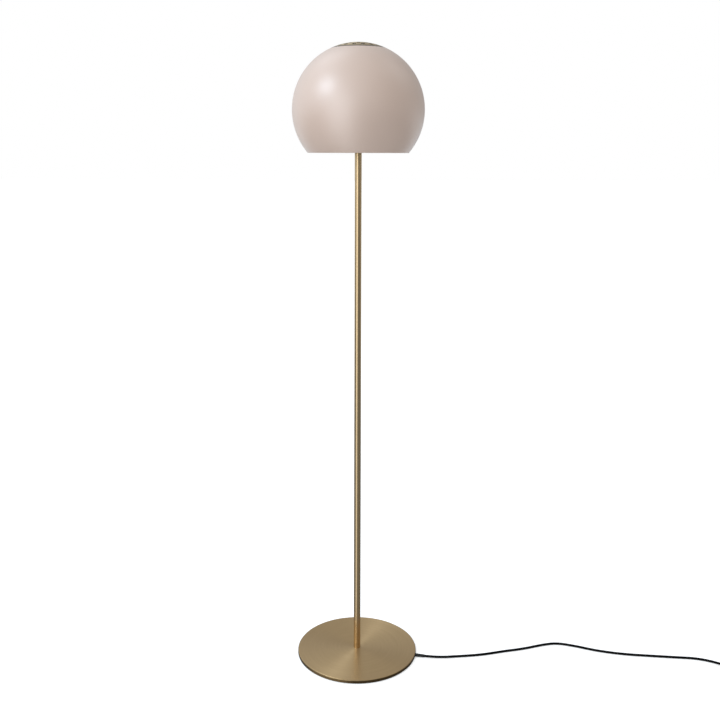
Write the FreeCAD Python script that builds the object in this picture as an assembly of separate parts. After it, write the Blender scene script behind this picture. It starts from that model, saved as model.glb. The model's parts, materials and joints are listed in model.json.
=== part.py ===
import FreeCAD, Part
import math
import os

Vector = FreeCAD.Vector
UP = Vector(0, 0, 1)
ALONG = Vector(1, 0, 0)

# Globe floor lamp, in millimetres. The lamp stands on z = 0 with its stem on the Z axis.
# Its mains cord leaves the base towards +X. Every size below can be set by itself.

# Fits
fit_gap = 0.05              # radial gap of a turned, pressed or threaded fit
seat_gap = 0.3              # gap between a curved piece and the wall that it seats on
slide_gap = 0.25            # radial gap round the sliding foot button

# Base: a solid brass-plated disc on a foam pad
base_radius = 142.0
base_thickness = 8.0
base_edge_round = 2.4
base_edge_break = 0.6
pad_thickness = 1.3
pad_inset = 6.0
hub_recess_radius = 24.0
hub_web = 2.5               # plate left above the recess, clamped under the stem
channel_roof = 1.8          # plate left above the cord's channel
channel_gap = 0.4

# Stem and the hollow M10 x 1 fittings in its two ends
stem_radius = 8.0
stem_wall = 1.5
stem_above_mouth = 8.7
pipe_thread_radius = 5.0
pipe_bore_radius = 3.6
insert_length = 18.0
screw_shank = 14.0
screw_head_height = 1.8
screw_head_flats = 14.0
washer_radius = 9.0
washer_thickness = 0.6
nipple_length = 17.0
nipple_out = 8.0
pipe_nut_height = 3.0

# Shade: a spun sphere, open below, with a recessed ledge for the vent cap above
overall_height = 1443.0
shade_radius = 150.0
shade_wall = 1.2
mouth_drop = 96.0           # from the sphere's centre down to the mouth
hem_thickness = 2.6
hem_depth = 7.0
seam_radius = 64.5
cap_recess = 2.4
ledge_width = 12.0

# Vent cap: a pressed brass dome that carries on the sphere
cap_wall = 1.2
cap_shadow_gap = 1.2
cap_rim_width = 4.5
outer_vents = 16
outer_vent_ring = 50.0
outer_vent_radius = 4.5
middle_vents = 12
middle_vent_ring = 34.0
middle_vent_radius = 4.0
inner_vents = 6
inner_vent_ring = 18.0
inner_vent_radius = 3.5
cap_studs = 3
first_stud = 30.0           # angle of the first stud, degrees
stud_radius = 1.5
stud_length = 8.0
stud_nut_flats = 5.5
stud_nut_height = 2.4
stud_washer_radius = 3.0
stud_washer_thickness = 0.5

# Lamp holder for an E27 cap
holder_cap_height = 17.0
holder_cap_foot = 13.0
holder_cap_taper = 10.2     # height over which the cup widens to the holder's radius
holder_wall = 2.0
holder_radius = 20.0
shoulder_radius = 24.0
shoulder_low = 4.0
shoulder_height = 4.0
holder_shell_height = 36.0
core_sink = 3.0             # part of the insulating core that lies in the holder's cap
core_height = 8.0
terminal_hole_place = 12.0  # holes for the terminals, from the axis
terminal_hole_radius = 1.8
terminal_hole_depth = 5.0
screw_sleeve_radius = 14.2
screw_sleeve_wall = 0.6
screw_sleeve_height = 25.0
contact_width = 5.0
contact_length = 20.0
contact_thickness = 0.6
contact_rise = 2.0

# Shade ring and three-armed spider
ring_radius = 28.5
ring_height = 6.0
spider_thickness = 2.0
spider_arms = 3
first_arm = 90.0            # angle of the first arm, degrees
spider_arm_width = 10.0
spider_tab_width = 14.0
spider_tab_drop = 16.0

# Bulb
bulb_radius = 30.0
bulb_centre_rise = 51.0     # from the top of the bulb's cap to the globe's centre
bulb_neck_radius = 12.5
bulb_neck_length = 7.0
bulb_glass_wall = 1.0
bulb_cap_height = 24.0
bulb_cap_wall = 0.5
bulb_grip = 5.0             # neck of the glass held in the cap
bulb_insulator_height = 3.0
bulb_insulator_foot = 6.0
bulb_tip_radius = 4.6
bulb_tip_height = 1.0

# Cord and its inner leads
cord_diameter = 5.6
cord_lift = 0.2             # air between the lying cord and the floor
cord_angle = -11.2          # direction in which the cord leaves the base, degrees
cord_straight = 30.0        # level start and end of the cord's free stretch
lead_end = 26.0             # where the jacket ends in the base
core_diameter = 2.2
core_pitch = 2.3
core_low = 2.7
core_level = 5.0            # level start of each core at the jacket's end
core_bend_start = 10.0      # where a core has come down to pass under the hollow screw
sleeve_start = 3.5          # from the plate's top to the sleeve's foot
sleeve_outer_radius = 2.9
sleeve_wall = 0.55
bush_lug_length = 3.0
bush_lug_width = 13.0
bush_neck_radius = 3.8
bush_tip_radius = 3.3
bush_taper = 22.0

# Foot switch on the cord
switch_place = Vector(885.0, -105.0, 0)     # tip of its first bush
switch_heading = -55.0
switch_length = 90.0
switch_width = 44.0
switch_foot = 1.0
switch_split = 8.0
switch_top = 24.0
switch_wall = 2.0
switch_round = 5.0
switch_foot_radius = 4.0
switch_foot_spacing = 28.0
switch_bush_flange = 6.0
switch_bush_neck = 4.4
boss_along = 30.0
boss_across = 14.0
boss_radius = 3.5
boss_screw_radius = 1.45
boss_head_radius = 2.8
boss_screw_length = 14.0
button_radius = 14.5
button_proud = 4.5
button_flange = 2.0         # height and radial reach of the flange that holds the button in
button_wall = 2.5
button_travel = 3.0
button_edge_round = 2.0
plunger_radius = 2.2
latch_radius = 5.0
latch_height = 11.0
latch_overlap = 1.0         # how far the plunger stands in the latch at rest
spring_wire = 1.0
spring_radius = 7.0
spring_turns = 5
terminal_along = 26.0
terminal_side = 8.0
terminal_height = 4.0
stub_length = 8.0           # cord jacket inside the switch

# Put-away coil
coil_lead = 46.0            # straight lead from the switch to the coil
switch_lead_level = 11.3    # level part at each end of that lead
coil_middle_radius = 30.8
coil_pitch = 6.2
coil_turns = 5
coil_heading_out = 180.0    # the cord leaves the coil towards -X

# Two-pin plug
plug_tail = 50.0
plug_tail_level = 15.0      # level part at each end of the plug's lead
plug_width = 35.3
plug_thickness = 13.7
plug_nose = 10.0
plug_length = 26.0
plug_back_width = 14.0
plug_round = 2.5
plug_boot_length = 30.0
plug_boot_root = 5.2
plug_boot_steps = 7         # steps of ribs and grooves along the boot
boot_groove_depth = 0.5
pin_radius = 2.0
pin_length = 19.0
pin_sleeve_length = 10.0
pin_sleeve_radius = 1.75
pin_core_radius = 1.3
pin_spacing = 18.6
pin_spacing_at_tips = 17.5
pin_end_round = 1.2

# The cord's free stretch over the floor, from the base to the switch (x, y)
cord_route = [
    (240.0, -31.0), (300.0, -23.5), (352.0, -8.5), (405.0, 3.5), (455.0, 22.0),
    (490.0, 29.0), (530.0, 17.0), (580.0, -5.0), (640.0, -20.0), (705.0, -27.0),
    (763.0, -33.0), (808.0, -37.0), (845.0, -52.0),
]

# Heights and places that follow from the sizes above
base_top = pad_thickness + base_thickness
recess_top = base_top - hub_web
channel_top = base_top - channel_roof
shade_centre = overall_height - shade_radius
mouth_height = shade_centre - mouth_drop
stem_top = mouth_height + stem_above_mouth
stem_bore = stem_radius - stem_wall
insert_radius = stem_bore - fit_gap
thread_hole = pipe_thread_radius + fit_gap
cord_radius = cord_diameter / 2
cord_height = cord_radius + cord_lift
lead_height = pad_thickness + seat_gap + cord_radius
bush_reach = base_radius + bush_taper
seam_height = math.sqrt(shade_radius ** 2 - seam_radius ** 2)
ledge_height = seam_height - cap_recess
cap_edge_radius = seam_radius - cap_shadow_gap
shell_low = stem_top + holder_cap_height
core_low_face = shell_low - core_sink
core_top_face = core_low_face + core_height
spider_low = shell_low + shoulder_low + shoulder_height
spider_top = spider_low + spider_thickness
bulb_tip_low = core_top_face + contact_thickness + contact_rise
bulb_cap_low = bulb_tip_low + bulb_tip_height + bulb_insulator_height
bulb_cap_top = bulb_cap_low + bulb_cap_height
bulb_cap_radius = screw_sleeve_radius - screw_sleeve_wall - seat_gap
plug_height = plug_thickness / 2


def rod(radius, low, high, x=0.0, y=0.0):
    """Upright cylinder between two heights."""
    return Part.makeCylinder(radius, high - low, Vector(x, y, low))


def sleeve(outer, inner, low, high):
    """Upright tube round the stem's axis."""
    return rod(outer, low, high).cut(rod(inner, low, high))


def level_rod(radius, start, length, height):
    """Cylinder that lies along +X, with its axis at a height."""
    return Part.makeCylinder(radius, length, Vector(start, 0, height), ALONG)


def level_cone(start_radius, end_radius, start, length, height):
    """Cone that lies along +X, with its axis at a height."""
    return Part.makeCone(start_radius, end_radius, length, Vector(start, 0, height), ALONG)


def block(low_x, high_x, width, low, high):
    """Box along X, centred on the X axis."""
    return Part.makeBox(high_x - low_x, width, high - low, Vector(low_x, -width / 2, low))


def nut_blank(flats, low, high, x=0.0, y=0.0):
    """Hexagonal prism between two heights."""
    corner = flats / math.sqrt(3)
    turns = [math.radians(60 * step) for step in range(7)]
    outline = [Vector(x + corner * math.cos(turn), y + corner * math.sin(turn), low) for turn in turns]
    return Part.Face(Part.makePolygon(outline)).extrude(UP * (high - low))


def spin(edges):
    """Solid of revolution about the Z axis, from a closed outline in the XZ plane."""
    return Part.Face(Part.Wire(edges)).revolve(Vector(0, 0, 0), UP, 360)


def line(start, end):
    """Straight edge between two (radius, height) points."""
    return Part.LineSegment(Vector(start[0], 0, start[1]), Vector(end[0], 0, end[1])).toShape()


def bow(start, middle, end):
    """Arc through three (radius, height) points."""
    points = [Vector(point[0], 0, point[1]) for point in (start, middle, end)]
    return Part.Arc(*points).toShape()


def turned(corners):
    """Solid of revolution with straight sides between (radius, height) corners."""
    loop = corners[1:] + corners[:1]
    return spin([line(start, end) for start, end in zip(corners, loop)])


def globe_arc(radius, centre, start, end):
    """Arc of a sphere's outline between two heights above its centre."""
    angles = [math.asin(start / radius), math.asin(end / radius)]
    angles.insert(1, sum(angles) / 2)
    return bow(*[(radius * math.cos(angle), centre + radius * math.sin(angle)) for angle in angles])


def on_globe(radius, centre, height):
    """Point of a sphere's outline at a height above its centre."""
    return (math.sqrt(radius ** 2 - height ** 2), centre + height)


def around(shape, count, first=0.0):
    """Copies of a shape, evenly turned about the Z axis."""
    copies = []
    for step in range(count):
        copy = shape.copy()
        copy.rotate(Vector(0, 0, 0), UP, first + 360.0 * step / count)
        copies.append(copy)
    return copies


def placed(shape, place, heading):
    """A shape turned to a heading in degrees and moved to its place on the floor."""
    moved = shape.copy()
    moved.rotate(Vector(0, 0, 0), UP, heading)
    moved.translate(place)
    return moved


def direction(heading):
    """Level unit vector at a heading in degrees."""
    return Vector(math.cos(math.radians(heading)), math.sin(math.radians(heading)), 0)


def tube_wire(points, name):
    """Straight runs joined by tangent arcs as large as the two runs allow."""
    edges = []
    radii = []
    last = points[0]
    for before, corner, after in zip(points, points[1:], points[2:]):
        incoming = corner - before
        outgoing = after - corner
        half_turn = incoming.getAngle(outgoing) / 2
        setback = 0.45 * min(incoming.Length, outgoing.Length)
        radii.append(setback / math.tan(half_turn))
        start = corner - incoming.normalize() * setback
        end = corner + outgoing.normalize() * setback
        weight = math.cos(half_turn)
        middle = (start + end + corner * (2 * weight)) * (0.5 / (1 + weight))
        edges.append(Part.LineSegment(last, start).toShape())
        edges.append(Part.Arc(start, middle, end).toShape())
        last = end
    edges.append(Part.LineSegment(last, points[-1]).toShape())
    print(name, "bend radii", [round(radius, 1) for radius in radii])
    return Part.Wire(edges)


def swept(wire, radius, name):
    """Round bar along a path, with its volume compared with its section times its length."""
    first = wire.OrderedEdges[0]
    start = first.valueAt(first.FirstParameter)
    ahead = first.tangentAt(first.FirstParameter)
    section = Part.Wire(Part.makeCircle(radius, start, ahead))
    solid = wire.makePipeShell([section], True, False)
    ratio = solid.Volume / (math.pi * radius ** 2 * wire.Length)
    print(name, "length", round(wire.Length, 1), "volume ratio", round(ratio, 4))
    return solid


def biarc(start, start_way, end, end_way):
    """Two tangent arcs that join two points with given directions."""
    span = end - start
    ways = start_way + end_way
    spread = 2 * (1 - start_way.dot(end_way))
    reach = (math.sqrt(span.dot(ways) ** 2 + spread * span.dot(span)) - span.dot(ways)) / spread
    first_corner = start + start_way * reach
    second_corner = end - end_way * reach
    joint = (first_corner + second_corner) * 0.5
    arcs = []
    for low, corner, high in ((start, first_corner, joint), (joint, second_corner, end)):
        weight = math.cos((corner - low).getAngle(high - corner) / 2)
        middle = (low + high + corner * (2 * weight)) * (0.5 / (1 + weight))
        arcs.append(Part.Arc(low, middle, high).toShape())
    return arcs


def winding(nodes, lead_in, lead_out):
    """Wire through nodes (point, direction) on biarcs, with a straight piece at each end."""
    first_point, first_way = nodes[0]
    last_point, last_way = nodes[-1]
    edges = [Part.LineSegment(first_point - first_way * lead_in, first_point).toShape()]
    for (start, start_way), (end, end_way) in zip(nodes, nodes[1:]):
        edges.extend(biarc(start, start_way, end, end_way))
    edges.append(Part.LineSegment(last_point, last_point + last_way * lead_out).toShape())
    return Part.Wire(edges)


def least_gap(wire, radius, skip, name):
    """Print the least distance between two turns of a wound wire, less its thickness."""
    points = wire.discretize(Distance=radius / 2)
    step = wire.Length / (len(points) - 1)
    apart = int(skip / step)
    least = min(
        (points[first] - points[second]).Length
        for first in range(0, len(points), 2)
        for second in range(first + apart, len(points), 2)
    )
    print(name, "least gap", round(least - 2 * radius, 2))


# Base

def base_pad():
    """Foam disc that the lamp stands on."""
    return rod(base_radius - pad_inset, 0, pad_thickness)


def base_plate():
    """Solid disc with a recess for the stem's screw and a channel for the cord."""
    disc = rod(base_radius, pad_thickness, base_top)
    rims = [edge for edge in disc.Edges if len(edge.Vertexes) == 1 or edge.isClosed()]
    top_rim = [edge for edge in rims if edge.BoundBox.ZMin > base_top - fit_gap]
    low_rim = [edge for edge in rims if edge.BoundBox.ZMax < pad_thickness + fit_gap]
    disc = disc.makeFillet(base_edge_round, top_rim).makeChamfer(base_edge_break, low_rim)
    disc = disc.cut(rod(thread_hole, 0, base_top))
    disc = disc.cut(rod(hub_recess_radius, 0, recess_top))
    disc = disc.cut(base_channel())
    return disc


def base_channel():
    """Space for the cord's jacket, the bush's lugs and its neck, open below."""
    lug_start = base_radius - pad_inset - bush_lug_length
    jacket = block(0, base_radius, cord_diameter + 2 * channel_gap, 0, channel_top)
    jacket = jacket.cut(rod(hub_recess_radius - fit_gap, 0, channel_top))
    lugs = block(lug_start - fit_gap, base_radius - pad_inset + fit_gap,
                 bush_lug_width + 2 * fit_gap, 0, channel_top)
    neck_hole = bush_neck_radius + fit_gap
    neck = level_rod(neck_hole, base_radius - pad_inset, pad_inset + 1, lead_height)
    neck = neck.fuse(block(base_radius - pad_inset, base_radius + 1, 2 * neck_hole, 0, lead_height))
    return placed(jacket.fuse(lugs).fuse(neck), Vector(0, 0, 0), cord_angle)


def cord_bush():
    """Moulded strain relief: lugs in the plate, a neck through its edge and a tapered tail."""
    lug_start = base_radius - pad_inset - bush_lug_length
    lugs = block(lug_start, base_radius - pad_inset, bush_lug_width,
                 pad_thickness + fit_gap, channel_top - fit_gap)
    neck = level_rod(bush_neck_radius, base_radius - pad_inset, pad_inset, lead_height)
    tail = level_cone(bush_neck_radius, bush_tip_radius, base_radius, bush_taper, lead_height)
    bore = level_rod(cord_radius + fit_gap, 0, bush_reach + 1, lead_height)
    return placed(lugs.fuse(neck).fuse(tail).cut(bore), Vector(0, 0, 0), cord_angle)


def inner_lead():
    """Cord jacket from the bush's tip through the channel to the recess."""
    jacket = level_rod(cord_radius, lead_end, bush_reach - lead_end, lead_height)
    return placed(jacket, Vector(0, 0, 0), cord_angle)


def lead_core(side):
    """One insulated core from the jacket's end, up the stem, to the lamp holder."""
    offset = side * core_pitch / 2
    points = [
        Vector(lead_end, offset, lead_height),
        Vector(lead_end - core_level, offset, lead_height),
        Vector(core_bend_start, offset, core_low),
        Vector(0, offset, core_low),
        Vector(0, offset, core_low_face),
    ]
    wire = tube_wire(points, "core")
    return placed(swept(wire, core_diameter / 2, "core"), Vector(0, 0, 0), cord_angle)


def core_sleeve():
    """Insulating sleeve over both cores inside the stem."""
    low = base_top + sleeve_start
    high = stem_top + nipple_out
    return sleeve(sleeve_outer_radius, sleeve_outer_radius - sleeve_wall, low, high)


# Stem

def stem_tube():
    """Brass tube between the base and the lamp holder."""
    return sleeve(stem_radius, stem_bore, base_top, stem_top)


def stem_insert(low, threaded_low, threaded_high):
    """Turned insert in the stem, with a pipe thread's hole over part of its length."""
    body = rod(insert_radius, low, low + insert_length)
    body = body.cut(rod(pipe_bore_radius, low, low + insert_length))
    return body.cut(rod(thread_hole, threaded_low, threaded_high))


def stem_foot():
    """Insert that takes the hollow screw from below."""
    return stem_insert(base_top, base_top, base_top + screw_shank)


def stem_head():
    """Insert that takes the nipple from above."""
    nipple_low = stem_top + nipple_out - nipple_length
    return stem_insert(stem_top - insert_length, nipple_low, stem_top)


def foot_washer():
    """Washer under the hollow screw's head."""
    return sleeve(washer_radius, thread_hole, recess_top - washer_thickness, recess_top)


def foot_screw():
    """Hollow screw that draws the stem down on to the plate."""
    head_top = recess_top - washer_thickness
    head = nut_blank(screw_head_flats, head_top - screw_head_height, head_top)
    shank = rod(pipe_thread_radius, head_top, base_top + screw_shank - fit_gap)
    return head.fuse(shank).cut(rod(pipe_bore_radius, 0, base_top + screw_shank))


def top_nipple():
    """Hollow threaded pipe between the stem and the lamp holder."""
    low = stem_top + nipple_out - nipple_length
    return sleeve(pipe_thread_radius, pipe_bore_radius, low + fit_gap, stem_top + nipple_out)


def nipple_nut():
    """Nut inside the holder's cap."""
    low = stem_top + holder_wall
    nut = nut_blank(screw_head_flats, low, low + pipe_nut_height)
    return nut.cut(rod(thread_hole, low, low + pipe_nut_height))


# Lamp holder

def holder_cap():
    """Cup below the lamp holder, open above."""
    skirt_low = stem_top + holder_cap_taper
    inner = holder_radius - holder_wall
    return turned([
        (thread_hole, stem_top),
        (holder_cap_foot, stem_top),
        (holder_radius, skirt_low),
        (holder_radius, shell_low),
        (inner, shell_low),
        (inner, skirt_low + holder_wall / 2),
        (holder_cap_foot - holder_wall / 2, stem_top + holder_wall),
        (thread_hole, stem_top + holder_wall),
    ])


def holder_core():
    """Insulating disc that carries the contacts, held between the cap and the shell."""
    disc = rod(holder_radius - holder_wall - fit_gap, core_low_face, core_top_face)
    hole = rod(terminal_hole_radius, core_low_face, core_low_face + terminal_hole_depth,
               terminal_hole_place)
    return disc.cut(around(hole, 2, first_arm))


def holder_shell():
    """Threaded outer shell with the shoulder that the spider rests on."""
    top = shell_low + holder_shell_height
    body = rod(holder_radius, shell_low, top)
    body = body.fuse(rod(shoulder_radius, shell_low + shoulder_low, spider_low))
    seat = rod(holder_radius - holder_wall, shell_low, core_top_face)
    mouth = rod(screw_sleeve_radius + 1, core_top_face, top)
    return body.cut(seat).cut(mouth)


def holder_sleeve():
    """Contact sleeve that the bulb's cap screws into."""
    top = core_top_face + screw_sleeve_height
    inner = screw_sleeve_radius - screw_sleeve_wall
    return sleeve(screw_sleeve_radius, inner, core_top_face, top)


def holder_contact():
    """Springy centre contact: a strip with a raised middle."""
    half = contact_length / 2
    low = core_top_face
    crest = contact_length / 6
    lower = [(-half, low), (-crest * 2, low), (-crest, low + contact_rise), (crest, low + contact_rise),
             (crest * 2, low), (half, low)]
    upper = [(along, height + contact_thickness) for along, height in reversed(lower)]
    corners = [Vector(along, -contact_width / 2, height) for along, height in lower + upper + lower[:1]]
    return Part.Face(Part.makePolygon(corners)).extrude(Vector(0, contact_width, 0))


def shade_ring():
    """Ring that screws down the holder's shell and clamps the spider."""
    top = spider_top + ring_height
    return turned([
        (holder_radius + fit_gap, spider_top),
        (ring_radius, spider_top),
        (ring_radius, spider_top + ring_height / 2),
        (holder_radius + holder_wall, top),
        (holder_radius + fit_gap, top),
    ])


def shade_spider():
    """Hub with three arms, whose bent tabs lie against the shade's inner wall."""
    wall_radius = shade_radius - shade_wall - seat_gap
    centre = Vector(0, 0, shade_centre)
    ball = Part.makeSphere(wall_radius, centre)
    bowl = ball.cut(Part.makeSphere(wall_radius - spider_thickness, centre))
    arm = block(shoulder_radius, wall_radius, spider_arm_width, spider_low, spider_top).common(ball)
    tab = block(shoulder_radius, wall_radius, spider_tab_width, spider_low - spider_tab_drop, spider_top)
    limb = arm.fuse(tab.common(bowl))
    hub = sleeve(ring_radius + fit_gap, holder_radius + fit_gap, spider_low, spider_top)
    return hub.multiFuse(around(limb, spider_arms, first_arm)).removeSplitter()


# Shade and vent cap

def shade():
    """Spun sphere with a rolled hem at its mouth and a ledge in its top opening."""
    inner_radius = shade_radius - shade_wall
    hem_radius = shade_radius - hem_thickness
    hem_top = hem_depth - mouth_drop
    tilt = math.asin(mouth_drop / shade_radius)
    roll_centre = shade_radius - hem_thickness / 2
    hem_end = (hem_radius * math.cos(tilt), shade_centre - hem_radius * math.sin(tilt))
    roll = (
        roll_centre * math.cos(tilt) - hem_thickness / 2 * math.sin(tilt),
        shade_centre - roll_centre * math.sin(tilt) - hem_thickness / 2 * math.cos(tilt),
    )
    ledge_top = shade_centre + ledge_height
    ledge_low = ledge_height - shade_wall
    ledge_end = seam_radius - ledge_width
    body = spin([
        globe_arc(shade_radius, shade_centre, seam_height, -mouth_drop),
        bow(on_globe(shade_radius, shade_centre, -mouth_drop), roll, hem_end),
        globe_arc(hem_radius, shade_centre, -hem_radius * math.sin(tilt), hem_top),
        line(on_globe(hem_radius, shade_centre, hem_top), on_globe(inner_radius, shade_centre, hem_top)),
        globe_arc(inner_radius, shade_centre, hem_top, ledge_low),
        line(on_globe(inner_radius, shade_centre, ledge_low), (ledge_end, shade_centre + ledge_low)),
        line((ledge_end, shade_centre + ledge_low), (ledge_end, ledge_top)),
        line((ledge_end, ledge_top), (seam_radius, ledge_top)),
        line((seam_radius, ledge_top), (seam_radius, shade_centre + seam_height)),
    ])
    holes = rod(stud_radius + fit_gap * 4, shade_centre, overall_height, stud_ring())
    return body.cut(around(holes, cap_studs, first_stud))


def stud_ring():
    """Radius on which the cap's studs stand, in the middle of its rim."""
    return cap_edge_radius - cap_rim_width / 2


def vent_cap():
    """Pressed brass dome with three rings of round vents and three studs below its rim."""
    inner_radius = shade_radius - cap_wall
    ledge_top = shade_centre + ledge_height
    rim_inside = cap_edge_radius - cap_rim_width
    edge_rise = math.sqrt(shade_radius ** 2 - cap_edge_radius ** 2)
    inside_rise = math.sqrt(inner_radius ** 2 - rim_inside ** 2)
    dome = spin([
        globe_arc(shade_radius, shade_centre, shade_radius, edge_rise),
        line((cap_edge_radius, shade_centre + edge_rise), (cap_edge_radius, ledge_top)),
        line((cap_edge_radius, ledge_top), (rim_inside, ledge_top)),
        line((rim_inside, ledge_top), (rim_inside, shade_centre + inside_rise)),
        globe_arc(inner_radius, shade_centre, inside_rise, inner_radius),
        line((0, shade_centre + inner_radius), (0, overall_height)),
    ])
    vents = vent_row(outer_vents, outer_vent_ring, outer_vent_radius, 0.5)
    vents += vent_row(middle_vents, middle_vent_ring, middle_vent_radius, 0)
    vents += vent_row(inner_vents, inner_vent_ring, inner_vent_radius, 0.5)
    stud = rod(stud_radius, ledge_top - stud_length, ledge_top + cap_wall, stud_ring())
    return dome.cut(vents).multiFuse(around(stud, cap_studs, first_stud))


def vent_row(count, ring, radius, shift):
    """Cutters for one ring of vents, each square to the dome."""
    lean = math.asin(ring / shade_radius)
    way = Vector(math.sin(lean), 0, math.cos(lean))
    start = Vector(0, 0, shade_centre) + way * (shade_radius - 2 * cap_recess)
    cutter = Part.makeCylinder(radius, 3 * cap_recess, start, way)
    return around(cutter, count, (shift + 0.25 * count) * 360.0 / count)


def cap_washers():
    """Washers below the ledge, one on each stud."""
    high = shade_centre + ledge_height - shade_wall
    low = high - stud_washer_thickness
    washer = rod(stud_washer_radius, low, high, stud_ring())
    washer = washer.cut(rod(stud_radius + fit_gap, low, high, stud_ring()))
    return Part.makeCompound(around(washer, cap_studs, first_stud))


def cap_nuts():
    """Nuts that hold the cap down, one on each stud."""
    high = shade_centre + ledge_height - shade_wall - stud_washer_thickness
    nut = nut_blank(stud_nut_flats, high - stud_nut_height, high, stud_ring())
    nut = nut.cut(rod(stud_radius + fit_gap, high - stud_nut_height, high, stud_ring()))
    return Part.makeCompound(around(nut, cap_studs, first_stud))


# Bulb

def bulb_outline(inset):
    """Corners of the glass outline at a depth below its surface: neck, cone foot and globe touch."""
    globe = bulb_radius - inset
    neck = bulb_neck_radius - inset
    cone_foot = bulb_cap_top + bulb_neck_length
    centre = bulb_cap_top + bulb_centre_rise
    drop = centre - cone_foot
    turn = math.atan2(neck, drop) + math.acos(globe / math.hypot(neck, drop))
    touch = (globe * math.sin(turn), centre - globe * math.cos(turn))
    return (neck, bulb_cap_top - bulb_grip), (neck, cone_foot), touch


def bulb_glass():
    """Opal glass globe with a cone and neck, open where the cap holds it."""
    centre = bulb_cap_top + bulb_centre_rise
    outer = bulb_outline(0)
    inner = bulb_outline(bulb_glass_wall)
    inner_radius = bulb_radius - bulb_glass_wall
    return spin([
        line(outer[0], outer[1]),
        line(outer[1], outer[2]),
        globe_arc(bulb_radius, centre, outer[2][1] - centre, bulb_radius),
        line((0, centre + bulb_radius), (0, centre + inner_radius)),
        globe_arc(inner_radius, centre, inner_radius, inner[2][1] - centre),
        line(inner[2], inner[1]),
        line(inner[1], inner[0]),
        line(inner[0], outer[0]),
    ])


def bulb_cap():
    """Screw cap round the neck of the glass."""
    lip = bulb_neck_radius + fit_gap
    inner = bulb_cap_radius - bulb_cap_wall
    step = bulb_cap_top - bulb_grip
    return turned([
        (bulb_tip_radius + 1, bulb_cap_low),
        (bulb_cap_radius, bulb_cap_low + 1),
        (bulb_cap_radius, bulb_cap_top),
        (lip, bulb_cap_top),
        (lip, step),
        (bulb_neck_radius - bulb_glass_wall, step - fit_gap),
        (inner - 1, bulb_cap_low + 1 + bulb_cap_wall),
        (bulb_tip_radius + 1, bulb_cap_low + bulb_cap_wall),
    ])


def bulb_insulator():
    """Black glass cone between the cap and the tip."""
    low = bulb_tip_low + bulb_tip_height
    return Part.makeCone(bulb_tip_radius, bulb_insulator_foot + bulb_tip_radius, bulb_insulator_height,
                         Vector(0, 0, low))


def bulb_tip():
    """Contact button of the bulb."""
    return Part.makeCone(bulb_tip_radius - 1, bulb_tip_radius, bulb_tip_height, Vector(0, 0, bulb_tip_low))


# Foot switch, made along +X from the tip of its first bush and then placed

def stadium(inset, low, high):
    """Prism with round ends in the switch's outline, at a depth inside its wall."""
    radius = switch_width / 2 - inset
    straight = switch_length - switch_width
    middle = bush_taper + switch_length / 2
    left = middle - straight / 2
    right = middle + straight / 2
    edges = [
        Part.LineSegment(Vector(left, -radius, low), Vector(right, -radius, low)).toShape(),
        Part.Arc(Vector(right, -radius, low), Vector(right + radius, 0, low),
                 Vector(right, radius, low)).toShape(),
        Part.LineSegment(Vector(right, radius, low), Vector(left, radius, low)).toShape(),
        Part.Arc(Vector(left, radius, low), Vector(left - radius, 0, low),
                 Vector(left, -radius, low)).toShape(),
    ]
    return Part.Face(Part.Wire(edges)).extrude(UP * (high - low))


def at_bosses(shape):
    """Copies of an upright shape at the four screw bosses."""
    middle = bush_taper + switch_length / 2
    copies = []
    for along in (-boss_along, boss_along):
        for across in (-boss_across, boss_across):
            copy = shape.copy()
            copy.translate(Vector(middle + along, across, 0))
            copies.append(copy)
    return copies


def set_switch(shape):
    """A piece of the switch moved to the switch's place on the cord."""
    return placed(shape, switch_place, switch_heading)


def switch_cable_holes():
    """Holes for the two bushes' necks, on the split line."""
    radius = switch_bush_neck + fit_gap
    return level_rod(radius, 0, switch_length + 2 * bush_taper, switch_split)


def switch_lower():
    """Lower shell with screw bosses and the seat of the latch."""
    floor = switch_foot + switch_wall
    outer = stadium(0, switch_foot, switch_split)
    shell = outer.cut(stadium(switch_wall, floor, switch_split))
    bosses = at_bosses(rod(boss_radius, floor, switch_split - fit_gap))
    shell = shell.multiFuse(bosses)
    cuts = at_bosses(rod(boss_screw_radius + fit_gap * 4, switch_foot, switch_split))
    cuts += at_bosses(rod(boss_head_radius + fit_gap * 4, switch_foot, floor))
    cuts.append(switch_cable_holes())
    return set_switch(shell.cut(cuts))


def switch_upper():
    """Upper shell with a rounded shoulder and the button's hole."""
    outer = stadium(0, switch_split, switch_top)
    rim = [edge for edge in outer.Edges if edge.BoundBox.ZMin > switch_top - fit_gap]
    outer = outer.makeFillet(switch_round, rim)
    ceiling = switch_top - switch_wall
    hollow = stadium(switch_wall, switch_split, ceiling)
    inner_rim = [edge for edge in hollow.Edges if edge.BoundBox.ZMin > ceiling - fit_gap]
    hollow = hollow.makeFillet(switch_round - switch_wall, inner_rim)
    shell = outer.cut(hollow)
    shell = shell.multiFuse(at_bosses(rod(boss_radius, switch_split, ceiling)))
    middle = bush_taper + switch_length / 2
    cuts = at_bosses(rod(boss_screw_radius, switch_split, switch_foot + switch_wall + boss_screw_length))
    cuts.append(rod(button_radius + slide_gap, ceiling, switch_top, middle))
    cuts.append(switch_cable_holes())
    return set_switch(shell.cut(cuts))


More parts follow.
